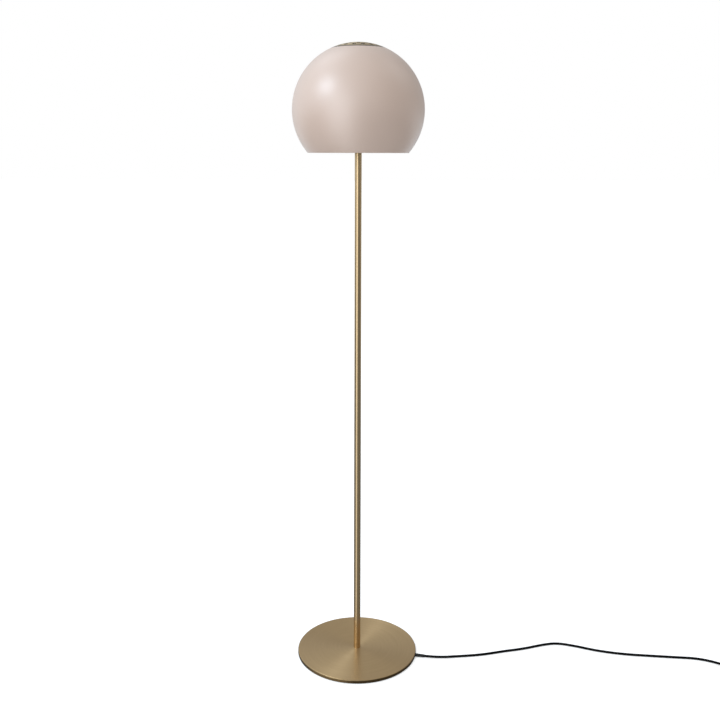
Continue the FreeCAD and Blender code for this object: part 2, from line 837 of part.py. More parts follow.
def switch_button():
    """Foot button with its flange below the shell's top and a plunger into the latch."""
    ceiling = switch_top - switch_wall
    flange_top = ceiling - fit_gap
    flange_low = flange_top - button_flange
    top = switch_top + button_proud
    cap = rod(button_radius, flange_low, top)
    rim = [edge for edge in cap.Edges if edge.BoundBox.ZMin > top - fit_gap]
    cap = cap.makeFillet(button_edge_round, rim)
    cap = cap.fuse(rod(button_radius + button_flange, flange_low, flange_top))
    cap = cap.cut(rod(button_radius - button_wall, flange_low, top - button_wall))
    plunger_low = switch_foot + switch_wall + latch_height - latch_overlap
    cap = cap.fuse(rod(plunger_radius, plunger_low, top - button_wall))
    cap.translate(Vector(bush_taper + switch_length / 2, 0, 0))
    return set_switch(cap.removeSplitter())


def switch_latch():
    """Push-push latch on the lower shell, with a hole for the plunger."""
    low = switch_foot + switch_wall
    body = rod(latch_radius, low, low + latch_height)
    depth = latch_overlap + button_travel + slide_gap
    body = body.cut(rod(plunger_radius + slide_gap, low + latch_height - depth, low + latch_height))
    body.translate(Vector(bush_taper + switch_length / 2, 0, 0))
    return set_switch(body)


def switch_spring():
    """Return spring round the latch, between the lower shell and the button."""
    low = switch_foot + switch_wall + spring_wire / 2
    high = switch_top + button_proud - button_wall - spring_wire / 2
    steps = 4 * spring_turns
    lead = (high - low) / steps
    nodes = []
    for step in range(steps + 1):
        turn = math.pi / 2 * step
        point = Vector(spring_radius * math.cos(turn), spring_radius * math.sin(turn), low + lead * step)
        way = Vector(-math.sin(turn), math.cos(turn), lead / (spring_radius * math.pi / 2))
        nodes.append((point, way.normalize()))
    wire = winding(nodes, fit_gap, fit_gap)
    least_gap(wire, spring_wire / 2, 3 * spring_radius, "spring")
    spring = swept(wire, spring_wire / 2, "spring")
    slab = stadium(-switch_length, switch_foot + switch_wall, switch_top + button_proud - button_wall)
    spring.translate(Vector(bush_taper + switch_length / 2, 0, 0))
    return set_switch(spring.common(slab))


def switch_terminals():
    """Two brass terminal blocks on the lower shell."""
    middle = bush_taper + switch_length / 2
    floor = switch_foot + switch_wall
    blocks = []
    for side in (-1, 1):
        centre = middle + side * terminal_along
        low_x = centre - terminal_side / 2
        blocks.append(block(low_x, low_x + terminal_side, terminal_side, floor, floor + terminal_height))
    return set_switch(Part.makeCompound(blocks))


def switch_bush(tip_first):
    """Grommet with a flange inside the wall and a tapered tail outside."""
    inside = bush_taper + switch_wall
    flange_at = inside + slide_gap + switch_bush_flange ** 2 / switch_width
    tail = level_cone(bush_tip_radius, switch_bush_neck, 0, bush_taper, switch_split)
    neck = level_rod(switch_bush_neck, bush_taper, flange_at - bush_taper, switch_split)
    flange = level_rod(switch_bush_flange, flange_at, switch_wall, switch_split)
    floor = switch_foot + switch_wall + fit_gap
    flange = flange.common(block(flange_at, flange_at + switch_wall, switch_width, floor, switch_top))
    bore = level_rod(cord_radius + fit_gap, -1, switch_length, switch_split)
    bush = tail.fuse(neck).fuse(flange).cut(bore)
    if not tip_first:
        bush.rotate(Vector(bush_taper + switch_length / 2, 0, 0), UP, 180)
    return set_switch(bush)


def switch_leads():
    """Cord jacket inside the two bushes and just inside the switch."""
    stub = bush_taper + switch_wall + stub_length
    whole = 2 * bush_taper + switch_length
    stubs = [
        level_rod(cord_radius, 0, stub, switch_split),
        level_rod(cord_radius, whole - stub, stub, switch_split),
    ]
    return set_switch(Part.makeCompound(stubs))


def switch_screws():
    """Four screws from below, through the lower shell into the upper one's bosses."""
    floor = switch_foot + switch_wall
    head = rod(boss_head_radius, switch_foot, floor)
    shank = rod(boss_screw_radius - fit_gap, floor, floor + boss_screw_length - fit_gap)
    return set_switch(Part.makeCompound(at_bosses(head.fuse(shank))))


def switch_feet():
    """Four rubber feet under the lower shell."""
    middle = bush_taper + switch_length / 2
    spots = [(x, y) for x in (-0.5, 0.5) for y in (-0.5, 0.5)]
    feet = [
        rod(switch_foot_radius, 0, switch_foot, middle + x * switch_foot_spacing, y * switch_foot_spacing)
        for x, y in spots
    ]
    return set_switch(Part.makeCompound(feet))


# Free cord

def exit_point():
    """Tip of the base's bush, where the cord comes free."""
    return direction(cord_angle) * bush_reach + UP * lead_height


def mains_cord():
    """Cord over the floor from the base to the switch."""
    start = exit_point()
    leaving = direction(cord_angle)
    coming = direction(switch_heading)
    entry = switch_place + UP * switch_split
    points = [start, start + leaving * cord_straight]
    points += [Vector(x, y, cord_height) for x, y in cord_route]
    points += [entry - coming * cord_straight, entry]
    return swept(tube_wire(points, "mains_cord"), cord_radius, "mains_cord")


def coil_start():
    """Point where the lead from the switch becomes the coil."""
    way = direction(switch_heading)
    whole = 2 * bush_taper + switch_length
    return switch_place + way * (whole + coil_lead) + UP * cord_height


def switch_lead():
    """Short lead from the switch to the coil, down to the floor."""
    way = direction(switch_heading)
    high = switch_place + way * (2 * bush_taper + switch_length) + UP * switch_split
    end = coil_start() - way * cord_diameter
    points = [high, high + way * switch_lead_level, end - way * switch_lead_level, end]
    return swept(tube_wire(points, "switch_lead"), cord_radius, "switch_lead")


def coil_sweep():
    """Whole angle of the coil, in degrees, from its start to the way out."""
    return (switch_heading - coil_heading_out) % 360 + 360.0 * coil_turns


def coil_outer_radius():
    """Radius at both ends of the coil, where the spiral is widest."""
    return coil_middle_radius + coil_pitch * coil_sweep() / 360 / 4


def coil_centre():
    """Middle of the coil on the floor, to the right of the cord that comes in."""
    return coil_start() + direction(switch_heading - 90) * coil_outer_radius()


def coil_nodes():
    """Points and directions of a spiral that winds in, climbs one layer and winds out again."""
    sweep = coil_sweep()
    count = 2 * round(sweep / 180)
    centre = coil_centre()
    inner_radius = coil_outer_radius() - coil_pitch * sweep / 720
    nodes = []
    for step in range(count + 1):
        turned_by = sweep * step / count
        from_middle = turned_by - sweep / 2
        radius = inner_radius + coil_pitch * abs(from_middle) / 360
        drift = 0 if step in (0, count / 2, count) else math.copysign(coil_pitch / 360, from_middle)
        climb = min(max(from_middle / 180 + 0.5, 0), 1)
        slope = 1.5 * coil_pitch / 180 if step == count / 2 else 0
        heading = switch_heading - turned_by
        outward = direction(heading + 90)
        way = direction(heading) * (radius * math.pi / 180) + outward * drift + UP * slope
        height = coil_pitch * climb * climb * (3 - 2 * climb)
        nodes.append((centre + outward * radius + UP * height, way.normalize()))
    return nodes


def cord_coil():
    """Put-away length of the cord, wound in two layers."""
    wire = winding(coil_nodes(), cord_diameter, cord_diameter)
    least_gap(wire, cord_radius, 3 * coil_middle_radius, "coil")
    return swept(wire, cord_radius, "coil")


def plug_place():
    """Back end of the plug's boot, on the floor plan."""
    end, way = coil_nodes()[-1]
    return Vector(end.x, end.y, 0) + way * (cord_diameter + plug_tail)


def plug_lead():
    """Lead from the coil's upper layer down to the plug's boot."""
    end, way = coil_nodes()[-1]
    start = end + way * cord_diameter
    drop = start.z - plug_height
    points = [
        start,
        start + way * plug_tail_level,
        start + way * (plug_tail - plug_tail_level) - UP * drop,
        start + way * plug_tail - UP * drop,
    ]
    return swept(tube_wire(points, "plug_lead"), cord_radius, "plug_lead")


# Plug, made along +X from the back end of its boot and then placed

def set_plug(shape):
    """A piece of the plug moved to its place beside the coil."""
    return placed(shape, plug_place(), coil_heading_out)


def plug_boot():
    """Tapered strain relief with shallow grooves."""
    boot = level_cone(bush_tip_radius, plug_boot_root, 0, plug_boot_length, plug_height)
    grooves = []
    spacing = plug_boot_length / plug_boot_steps
    for step in range(2, plug_boot_steps - 1):
        reach = bush_tip_radius + (plug_boot_root - bush_tip_radius) * step / plug_boot_steps
        groove = level_rod(plug_boot_root + 1, step * spacing, spacing / 2, plug_height)
        core = level_rod(reach - boot_groove_depth, step * spacing, spacing / 2, plug_height)
        grooves.append(groove.cut(core))
    return set_plug(boot.cut(grooves))


def plug_body():
    """Flat tapering plug body with rounded edges."""
    back = plug_boot_length
    front = back + plug_length
    half = plug_width / 2
    half_back = plug_back_width / 2
    outline = [
        (back, -half_back), (front - plug_nose, -half), (front, -half),
        (front, half), (front - plug_nose, half), (back, half_back), (back, -half_back),
    ]
    body = Part.Face(Part.makePolygon([Vector(x, y, 0) for x, y in outline]))
    body = body.extrude(UP * plug_thickness)
    body = body.makeFillet(plug_round, body.Edges)
    roots = [pin_bar(pin_core_radius + fit_gap, -pin_sleeve_length / 2, pin_sleeve_length, side)
             for side in (-1, 1)]
    return set_plug(body.cut(roots))


def pin_bar(radius, start, length, side):
    """Round bar along a pin's axis, measured from the plug's face; the pins lean together."""
    root = Vector(plug_boot_length + plug_length, side * pin_spacing / 2, plug_height)
    lean = Vector(pin_length, -side * (pin_spacing - pin_spacing_at_tips) / 2, 0).normalize()
    return Part.makeCylinder(radius, length, root + lean * start, lean)


def plug_pins():
    """Two round pins, thinner where their sleeves cover them."""
    pins = []
    for side in (-1, 1):
        bare = pin_length - pin_sleeve_length
        tip = pin_bar(pin_radius, pin_sleeve_length, bare, side)
        end = [edge for edge in tip.Edges if edge.BoundBox.XMin > plug_boot_length + plug_length + pin_length - 1]
        tip = tip.makeFillet(pin_end_round, end)
        core = pin_bar(pin_core_radius, -pin_sleeve_length / 2 + fit_gap,
                       pin_sleeve_length * 1.5 - fit_gap, side)
        pins.append(tip.fuse(core))
    return set_plug(Part.makeCompound(pins))


def pin_sleeves():
    """Plastic sleeves round the pins next to the plug's face."""
    sleeves = []
    for side in (-1, 1):
        outer = pin_bar(pin_sleeve_radius, fit_gap, pin_sleeve_length - 2 * fit_gap, side)
        sleeves.append(outer.cut(pin_bar(pin_core_radius + fit_gap, 0, pin_sleeve_length, side)))
    return set_plug(Part.makeCompound(sleeves))


PIECES = {
    "base_pad": base_pad,
    "base_plate": base_plate,
    "foot_washer": foot_washer,
    "foot_screw": foot_screw,
    "stem_foot": stem_foot,
    "stem_tube": stem_tube,
    "stem_head": stem_head,
    "top_nipple": top_nipple,
    "nipple_nut": nipple_nut,
    "cord_bush": cord_bush,
    "inner_lead": inner_lead,
    "core_live": lambda: lead_core(1),
    "core_neutral": lambda: lead_core(-1),
    "core_sleeve": core_sleeve,
    "holder_cap": holder_cap,
    "holder_core": holder_core,
    "holder_shell": holder_shell,
    "holder_sleeve": holder_sleeve,
    "holder_contact": holder_contact,
    "shade_ring": shade_ring,
    "shade_spider": shade_spider,
    "shade": shade,
    "vent_cap": vent_cap,
    "cap_washers": cap_washers,
    "cap_nuts": cap_nuts,
    "bulb_glass": bulb_glass,
    "bulb_cap": bulb_cap,
    "bulb_insulator": bulb_insulator,
    "bulb_tip": bulb_tip,
    "mains_cord": mains_cord,
    "switch_lower": switch_lower,
    "switch_upper": switch_upper,
    "switch_button": switch_button,
    "switch_latch": switch_latch,
    "switch_spring": switch_spring,
    "switch_terminals": switch_terminals,
    "switch_bush_in": lambda: switch_bush(True),
    "switch_bush_out": lambda: switch_bush(False),
    "switch_leads": switch_leads,
    "switch_screws": switch_screws,
    "switch_feet": switch_feet,
    "switch_lead": switch_lead,
    "cord_coil": cord_coil,
    "plug_lead": plug_lead,
    "plug_boot": plug_boot,
    "plug_body": plug_body,
    "plug_pins": plug_pins,
    "pin_sleeves": pin_sleeves,
}

os.makedirs("parts", exist_ok=True)
for node, build in PIECES.items():
    build().exportStep("parts/" + node + ".step")
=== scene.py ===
"""Looks of the globe floor lamp: finishes, cords, dressed pieces, floor, studio light and camera.

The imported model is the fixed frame. Its origin is on the floor under the middle of the base, +Z runs
up the stem and the camera looks along +Y. Every length is in metres, unless a name ends in _mm or its
class says mm.
"""
import json
import logging
import math
from abc import ABC, abstractmethod
from dataclasses import dataclass, field
from enum import Enum
from typing import Sequence

import bmesh
import bpy
from mathutils import Euler, Matrix, Vector


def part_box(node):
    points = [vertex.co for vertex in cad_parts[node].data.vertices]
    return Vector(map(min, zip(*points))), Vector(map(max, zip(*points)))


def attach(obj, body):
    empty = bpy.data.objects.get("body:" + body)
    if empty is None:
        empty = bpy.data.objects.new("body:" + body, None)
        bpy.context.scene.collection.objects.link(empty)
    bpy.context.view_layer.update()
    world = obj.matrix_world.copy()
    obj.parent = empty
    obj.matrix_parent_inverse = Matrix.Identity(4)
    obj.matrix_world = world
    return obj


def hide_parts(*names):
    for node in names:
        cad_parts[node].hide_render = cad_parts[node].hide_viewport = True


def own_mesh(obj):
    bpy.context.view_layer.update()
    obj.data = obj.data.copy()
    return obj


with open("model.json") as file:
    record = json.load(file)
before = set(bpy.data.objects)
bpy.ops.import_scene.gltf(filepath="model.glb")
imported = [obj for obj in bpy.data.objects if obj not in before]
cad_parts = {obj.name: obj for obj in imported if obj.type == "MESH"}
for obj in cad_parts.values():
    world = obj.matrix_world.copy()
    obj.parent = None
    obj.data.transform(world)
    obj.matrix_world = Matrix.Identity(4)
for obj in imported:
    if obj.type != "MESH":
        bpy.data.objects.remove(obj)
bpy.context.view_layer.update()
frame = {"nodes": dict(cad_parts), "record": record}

LOG = logging.getLogger("globe_lamp")
MM = 0.001
SHADE_HALF_WALL = 0.6 * MM
LAMP = "lamp"
FOOT_BUTTON = "foot_button"
WHITE = "#ffffff"
FULL_TURN = 360
QUARTER_TURN = 0.25
# layers of finer noise in a pattern, and the span in which most of a pattern's values lie
FINE_DETAIL = 3.0
SOFT_DETAIL = 2.0
NOISE_MIDDLE = (0.3, 0.7)

Colour = tuple[float, float, float, float]
Span = tuple[float, float]
Outline = list[Span]
Tree = bpy.types.NodeTree
Socket = bpy.types.NodeSocket
Feed = bpy.types.NodeSocket | float


class Brushing(Enum):
    """Way in which brass was brushed."""

    CIRCULAR = "in circles on the face of a disc"
    AROUND = "in rings round a tube"


class PaintedShade(Enum):
    """Where brass gets a darker tone as painted shade."""

    NONE = "nowhere"
    EDGE = "on the upright edge"
    INSIDE = "on the inner side, in the holes and on the rolled rim"


def linear(code: str) -> Colour:
    """Turn an sRGB hex colour into linear light.

    Args:
        code: colour as "#rrggbb".

    Returns:
        Linear red, green, blue and an alpha of 1.
    """
    shares = [int(code[place:place + 2], 16) / 255 for place in (1, 3, 5)]
    parts = [share / 12.92 if share <= 0.04045 else ((share + 0.055) / 1.055) ** 2.4 for share in shares]
    return (parts[0], parts[1], parts[2], 1.0)


def feed(tree: Tree, node: bpy.types.Node, inputs: dict) -> None:
    """Give a node's sockets their values and links.

    Args:
        tree: node tree that holds the node.
        node: node to feed.
        inputs: socket name or place, with the value or the output socket that it takes.
    """
    for socket, value in inputs.items():
        if isinstance(value, Socket):
            tree.links.new(value, node.inputs[socket])
        else:
            node.inputs[socket].default_value = value


def add_node(tree: Tree, kind: str, inputs: dict | None = None, **settings) -> bpy.types.Node:
    """Add a shader node with its settings, values and links.

    Args:
        tree: node tree that gets the node.
        kind: Blender's name of the node's type.
        inputs: socket name or place, with the value or the output socket that it takes.
        settings: properties of the node itself.

    Returns:
        The new node.
    """
    node = tree.nodes.new(kind)
    for name, value in settings.items():
        setattr(node, name, value)
    feed(tree, node, inputs or {})
    return node


def blank_tree(owner: bpy.types.Material | bpy.types.World) -> Tree:
    """Switch on the nodes of a material or world, and empty them.

    Args:
        owner: material or world.

    Returns:
        Its empty node tree.
    """
    owner.use_nodes = True
    owner.node_tree.nodes.clear()
    return owner.node_tree


def object_place(tree: Tree) -> Socket:
    """Coordinates on the piece."""
    return add_node(tree, "ShaderNodeTexCoord").outputs["Object"]


def reckon(tree: Tree, operation: str, *values: Feed) -> Socket:
    """Reckon with numbers."""
    return add_node(tree, "ShaderNodeMath", dict(enumerate(values)), operation=operation).outputs[0]


def reckon_vectors(tree: Tree, operation: str, *values) -> bpy.types.Node:
    """Reckon with vectors."""
    return add_node(tree, "ShaderNodeVectorMath", dict(enumerate(values)), operation=operation)


def map_range(tree: Tree, value: Feed, span: Span, to: Span = (0.0, 1.0)) -> Socket:
    """Map a number from one span to another, and hold it there."""
    return add_node(tree, "ShaderNodeMapRange", {"Value": value, "From Min": span[0], "From Max": span[1],
                                                 "To Min": to[0], "To Max": to[1]}).outputs[0]


def mix_numbers(tree: Tree, share: Feed, low: Feed, high: Feed) -> Socket:
    """Mix two numbers by a share from 0 to 1."""
    return add_node(tree, "ShaderNodeMix", {0: share, 2: low, 3: high}, data_type="FLOAT").outputs[0]


def mix_colours(tree: Tree, share: Feed, low: Socket | str, high: Socket | str) -> Socket:
    """Mix two colours, each a socket or "#rrggbb", by a share from 0 to 1."""
    first, second = [linear(tone) if isinstance(tone, str) else tone for tone in (low, high)]
    return add_node(tree, "ShaderNodeMix", {0: share, 6: first, 7: second}, data_type="RGBA").outputs[2]


def noise(tree: Tree, place: Socket, scale: float, detail: float) -> Socket:
    """Add a noise pattern."""
    return add_node(tree, "ShaderNodeTexNoise",
                    {"Vector": place, "Scale": scale, "Detail": detail}).outputs["Fac"]


def raise_relief(tree: Tree, height: Socket, strength: float, depth: float) -> Socket:
    """Raise a pattern as fine relief."""
    return add_node(tree, "ShaderNodeBump",
                    {"Strength": strength, "Distance": depth, "Height": height}).outputs[0]


def seen_bare(tree: Tree, path: bpy.types.Node) -> Socket:
    """Tell the camera's own rays, also those through glass, from rays that light the object."""
    return reckon(tree, "MAXIMUM", path.outputs["Is Camera Ray"], path.outputs["Is Transmission Ray"])


def place_object(name: str, data: bpy.types.ID) -> bpy.types.Object:
    """Make an object and link it to the scene.

    Args:
        name: name of the object.
        data: its mesh, curve or light.

    Returns:
        The linked object.
    """
    piece = bpy.data.objects.new(name, data)
    bpy.context.scene.collection.objects.link(piece)
    return piece


# Finishes


@dataclass(frozen=True)
class Finish(ABC):
    """A finish: what the material is and how its surface was made."""

    name: str

    def build(self) -> bpy.types.Material:
        """Make the Blender material.

        Returns:
            The finished material.
        """
        material = bpy.data.materials.new(self.name)
        tree = blank_tree(material)
        shader = add_node(tree, "ShaderNodeBsdfPrincipled")
        add_node(tree, "ShaderNodeOutputMaterial", {"Surface": shader.outputs["BSDF"]})
        self.paint(tree, shader)
        return material

    @abstractmethod
    def paint(self, tree: Tree, shader: bpy.types.Node) -> None:
        """Set the shader's values and its patterns.

        Args:
            tree: the material's node tree.
            shader: its principled shader.
        """


@dataclass(frozen=True)
class BrushedBrass(Finish):
    """Brass brushed one way and clear-lacquered: its highlights spread across the grooves."""

    brushing: Brushing
    camera_or_painted_shade: PaintedShade = PaintedShade.NONE
    light: str = "#bda37b"
    dark: str = "#b49a73"
    # dark tone painted as shade on the upright edge, or inside the cap and on its rim
    painted_shade_tone: str = "#6a563a"
    roughness: float = 0.42
    anisotropy: float = 0.86
    painted_shade_roughness: float = 0.28
    gloss_spread: float = 0.03
    groove_mm: float = 0.6
    band_mm: float = 5.0
    centre: tuple[float, float, float] = (0.0, 0.0, 0.0)
    wall_radius: float = 0.0
    rim_radius: float = 0.0
    tone_span: Span = (0.6, 1.4)
    groove_strength: float = 0.1
    edge_slope: Span = (0.3, 0.8)

    def paint(self, tree: Tree, shader: bpy.types.Node) -> None:
        """Lay grooves at two scales over the brass, and a dark tone as painted shade on the upright edge or
        inside the cap.

        Args:
            tree: the material's node tree.
            shader: its principled shader.
        """
        place = object_place(tree)
        fine = self.grooves(tree, place, self.groove_mm)
        # the real grooves are under a pixel wide here, so a second set is drawn in bands wide enough to show
        wide = self.grooves(tree, place, self.band_mm)
        share = map_range(tree, reckon(tree, "ADD", fine, wide), self.tone_span)
        streaks = map_range(tree, fine, NOISE_MIDDLE, (self.roughness - self.gloss_spread,
                                                       self.roughness + self.gloss_spread))
        # painted shade: the dark tone goes where this mask is 1
        camera_or_painted_shade = self.painted_shade_share(tree, place)
        brushed = mix_colours(tree, share, self.dark, self.light)
        feed(tree, shader, {
            "Base Color": mix_colours(tree, camera_or_painted_shade, brushed, self.painted_shade_tone),
            "Metallic": 1.0,
            "Roughness": mix_numbers(tree, camera_or_painted_shade, streaks, self.painted_shade_roughness),
            "Anisotropic": self.anisotropy,
            "Anisotropic Rotation": QUARTER_TURN,
            "Normal": raise_relief(tree, fine, self.groove_strength, self.gloss_spread * MM),
            "Tangent": add_node(tree, "ShaderNodeTangent", direction_type="RADIAL", axis="Z").outputs[0],
        })

    def grooves(self, tree: Tree, place: Socket, spacing_mm: float) -> Socket:
        """Add one set of grooves that closes on itself round the axis.

        Args:
            tree: the material's node tree.
            place: coordinates on the piece.
            spacing_mm: distance from groove to groove.

        Returns:
            Socket with the height of the grooves, from 0 to 1.
        """
        split = add_node(tree, "ShaderNodeSeparateXYZ", {0: place})
        flat = add_node(tree, "ShaderNodeCombineXYZ", {0: split.outputs[0], 1: split.outputs[1]}).outputs[0]
        way = reckon_vectors(tree, "NORMALIZE", flat).outputs[0]
        turn = add_node(tree, "ShaderNodeSeparateXYZ", {0: way})
        across = split.outputs[2]
        if self.brushing is Brushing.CIRCULAR:
            across = reckon_vectors(tree, "LENGTH", flat).outputs["Value"]
        step = reckon(tree, "DIVIDE", across, spacing_mm * MM)
        grain = add_node(tree, "ShaderNodeCombineXYZ", {0: step, 1: turn.outputs[0], 2: turn.outputs[1]})
        return noise(tree, grain.outputs[0], 1.0, FINE_DETAIL)

    def painted_shade_share(self, tree: Tree, place: Socket) -> Feed:
        """Find where the brass gets a dark tone as painted shade.

        Args:
            tree: the material's node tree.
            place: coordinates on the piece.

        Returns:
            Socket or number that is 1 where the shade is painted.
        """
        if self.camera_or_painted_shade is PaintedShade.EDGE:
            # painted shade: faces that turn away from up get the dark tone
            normal = add_node(tree, "ShaderNodeNewGeometry").outputs["Normal"]
            upward = add_node(tree, "ShaderNodeSeparateXYZ", {0: normal}).outputs[2]
            return map_range(tree, upward, self.edge_slope, (1.0, 0.0))
        if self.camera_or_painted_shade is PaintedShade.INSIDE:
            # painted shade: the cap's inside, the walls of its holes and its rim get the dark tone
            reach = reckon_vectors(tree, "DISTANCE", place, self.centre).outputs["Value"]
            flat = reckon_vectors(tree, "MULTIPLY", place, (1.0, 1.0, 0.0)).outputs[0]
            out = reckon_vectors(tree, "LENGTH", flat).outputs["Value"]
            return reckon(tree, "MAXIMUM", reckon(tree, "LESS_THAN", reach, self.wall_radius),
                          reckon(tree, "GREATER_THAN", out, self.rim_radius))
        return 0.0


@dataclass(frozen=True)
class GrainedFinish(Finish):
    """Any even finish with a fine grain: moulded, cast, plated, foamed or sprayed."""

    light: str
    dark: str
    roughness: float
    metallic: float = 0.0
    grain_mm: float = 0.6
    depth_mm: float = 0.02
    spread: float = 0.05
    specular: float = 0.5
    coat: float = 0.0
    coat_roughness: float = 0.1
    subsurface: float = 0.0
    bleed_mm: float = 3.0
    cloud_grains: int = 40
    least_roughness: float = 0.02
    grain_strength: float = 0.3

    def paint(self, tree: Tree, shader: bpy.types.Node) -> None:
        """Lay a fine grain over two close tones.

        Args:
            tree: the material's node tree.
            shader: its principled shader.
        """
        place = object_place(tree)
        grain = noise(tree, place, 1 / (self.grain_mm * MM), FINE_DETAIL)
        cloud = noise(tree, place, 1 / (self.cloud_grains * self.grain_mm * MM), SOFT_DETAIL)
        gloss = (max(self.roughness - self.spread, self.least_roughness), self.roughness + self.spread)
        feed(tree, shader, {
            "Base Color": mix_colours(tree, cloud, self.dark, self.light),
            "Metallic": self.metallic,
            "Roughness": map_range(tree, grain, NOISE_MIDDLE, gloss),
            "Specular IOR Level": self.specular,
            "Coat Weight": self.coat,
            "Coat Roughness": self.coat_roughness,
            "Subsurface Weight": self.subsurface,
            "Subsurface Radius": [self.bleed_mm * MM] * 3,
            "Subsurface Scale": 1.0,
            "Normal": raise_relief(tree, grain, self.grain_strength, self.depth_mm * MM),
        })


@dataclass(frozen=True)
class ShadeLacquer(Finish):
    """Sprayed two-coat lacquer on spun steel: satin pink-beige outside, matt white inside."""

    centre: tuple[float, float, float]
    wall_radius: float
    outside: str = "#c6ac9b"
    outside_cloud: str = "#c3a998"
    inside: str = "#efece6"
    roughness: float = 0.46
    inside_roughness: float = 0.6
    clouds_per_metre: float = 14.0
    peel_mm: float = 2.2
    peel_depth_mm: float = 0.03
    peel_strength: float = 0.15
    specular: float = 0.9
    coat_ior: float = 1.8
    coat_roughness: float = 0.4

    def paint(self, tree: Tree, shader: bpy.types.Node) -> None:
        """Lay orange peel over the two colours, which part at the middle of the wall.

        Args:
            tree: the material's node tree.
            shader: its principled shader.
        """
        place = object_place(tree)
        reach = reckon_vectors(tree, "DISTANCE", place, self.centre).outputs["Value"]
        outer = reckon(tree, "GREATER_THAN", reach, self.wall_radius)
        cloud = noise(tree, place, self.clouds_per_metre, SOFT_DETAIL)
        satin = mix_colours(tree, cloud, self.outside_cloud, self.outside)
        peel = noise(tree, place, 1 / (self.peel_mm * MM), SOFT_DETAIL)
        feed(tree, shader, {
            "Base Color": mix_colours(tree, outer, self.inside, satin),
            "Roughness": map_range(tree, outer, (0.0, 1.0), (self.inside_roughness, self.roughness)),
            "Specular IOR Level": self.specular,
            "Coat Weight": 1.0,
            "Coat IOR": self.coat_ior,
            "Coat Roughness": self.coat_roughness,
            "Normal": raise_relief(tree, peel, self.peel_strength, self.peel_depth_mm * MM),
        })


@dataclass(frozen=True)
class BraidedJacket(Finish):
    """Polyester braid over a round cable: crossing yarns with a dull sheen."""

    light: str = "#0e0e0e"
    dark: str = "#040404"
    roughness: float = 0.8
    yarn_mm: float = 1.1
    depth_mm: float = 0.15
    strength: float = 0.5
    specular: float = 0.12
    tilt: Span = (0.6, 0.5)
    slant: float = math.pi / 4
    bands_per_step: float = 3.2
    waviness: float = 0.6

    def paint(self, tree: Tree, shader: bpy.types.Node) -> None:
        """Cross two sets of slanted yarns.

        Args:
            tree: the material's node tree.
            shader: its principled shader.
        """
        place = object_place(tree)
        sets = []
        for lean in (1.0, -1.0):
            turn = (lean * self.tilt[0], self.tilt[1], lean * self.slant)
            turned = add_node(tree, "ShaderNodeMapping", {"Vector": place, "Rotation": turn})
            scale = 1 / (self.yarn_mm * MM) / self.bands_per_step
            sets.append(add_node(tree, "ShaderNodeTexWave",
                                 {"Vector": turned.outputs[0], "Scale": scale,
                                  "Distortion": self.waviness}).outputs["Fac"])
        crossed = reckon(tree, "MULTIPLY", *sets)
        feed(tree, shader, {
            "Base Color": mix_colours(tree, crossed, self.dark, self.light),
            "Roughness": self.roughness,
            "Specular IOR Level": self.specular,
            "Normal": raise_relief(tree, crossed, self.strength, self.depth_mm * MM),
        })


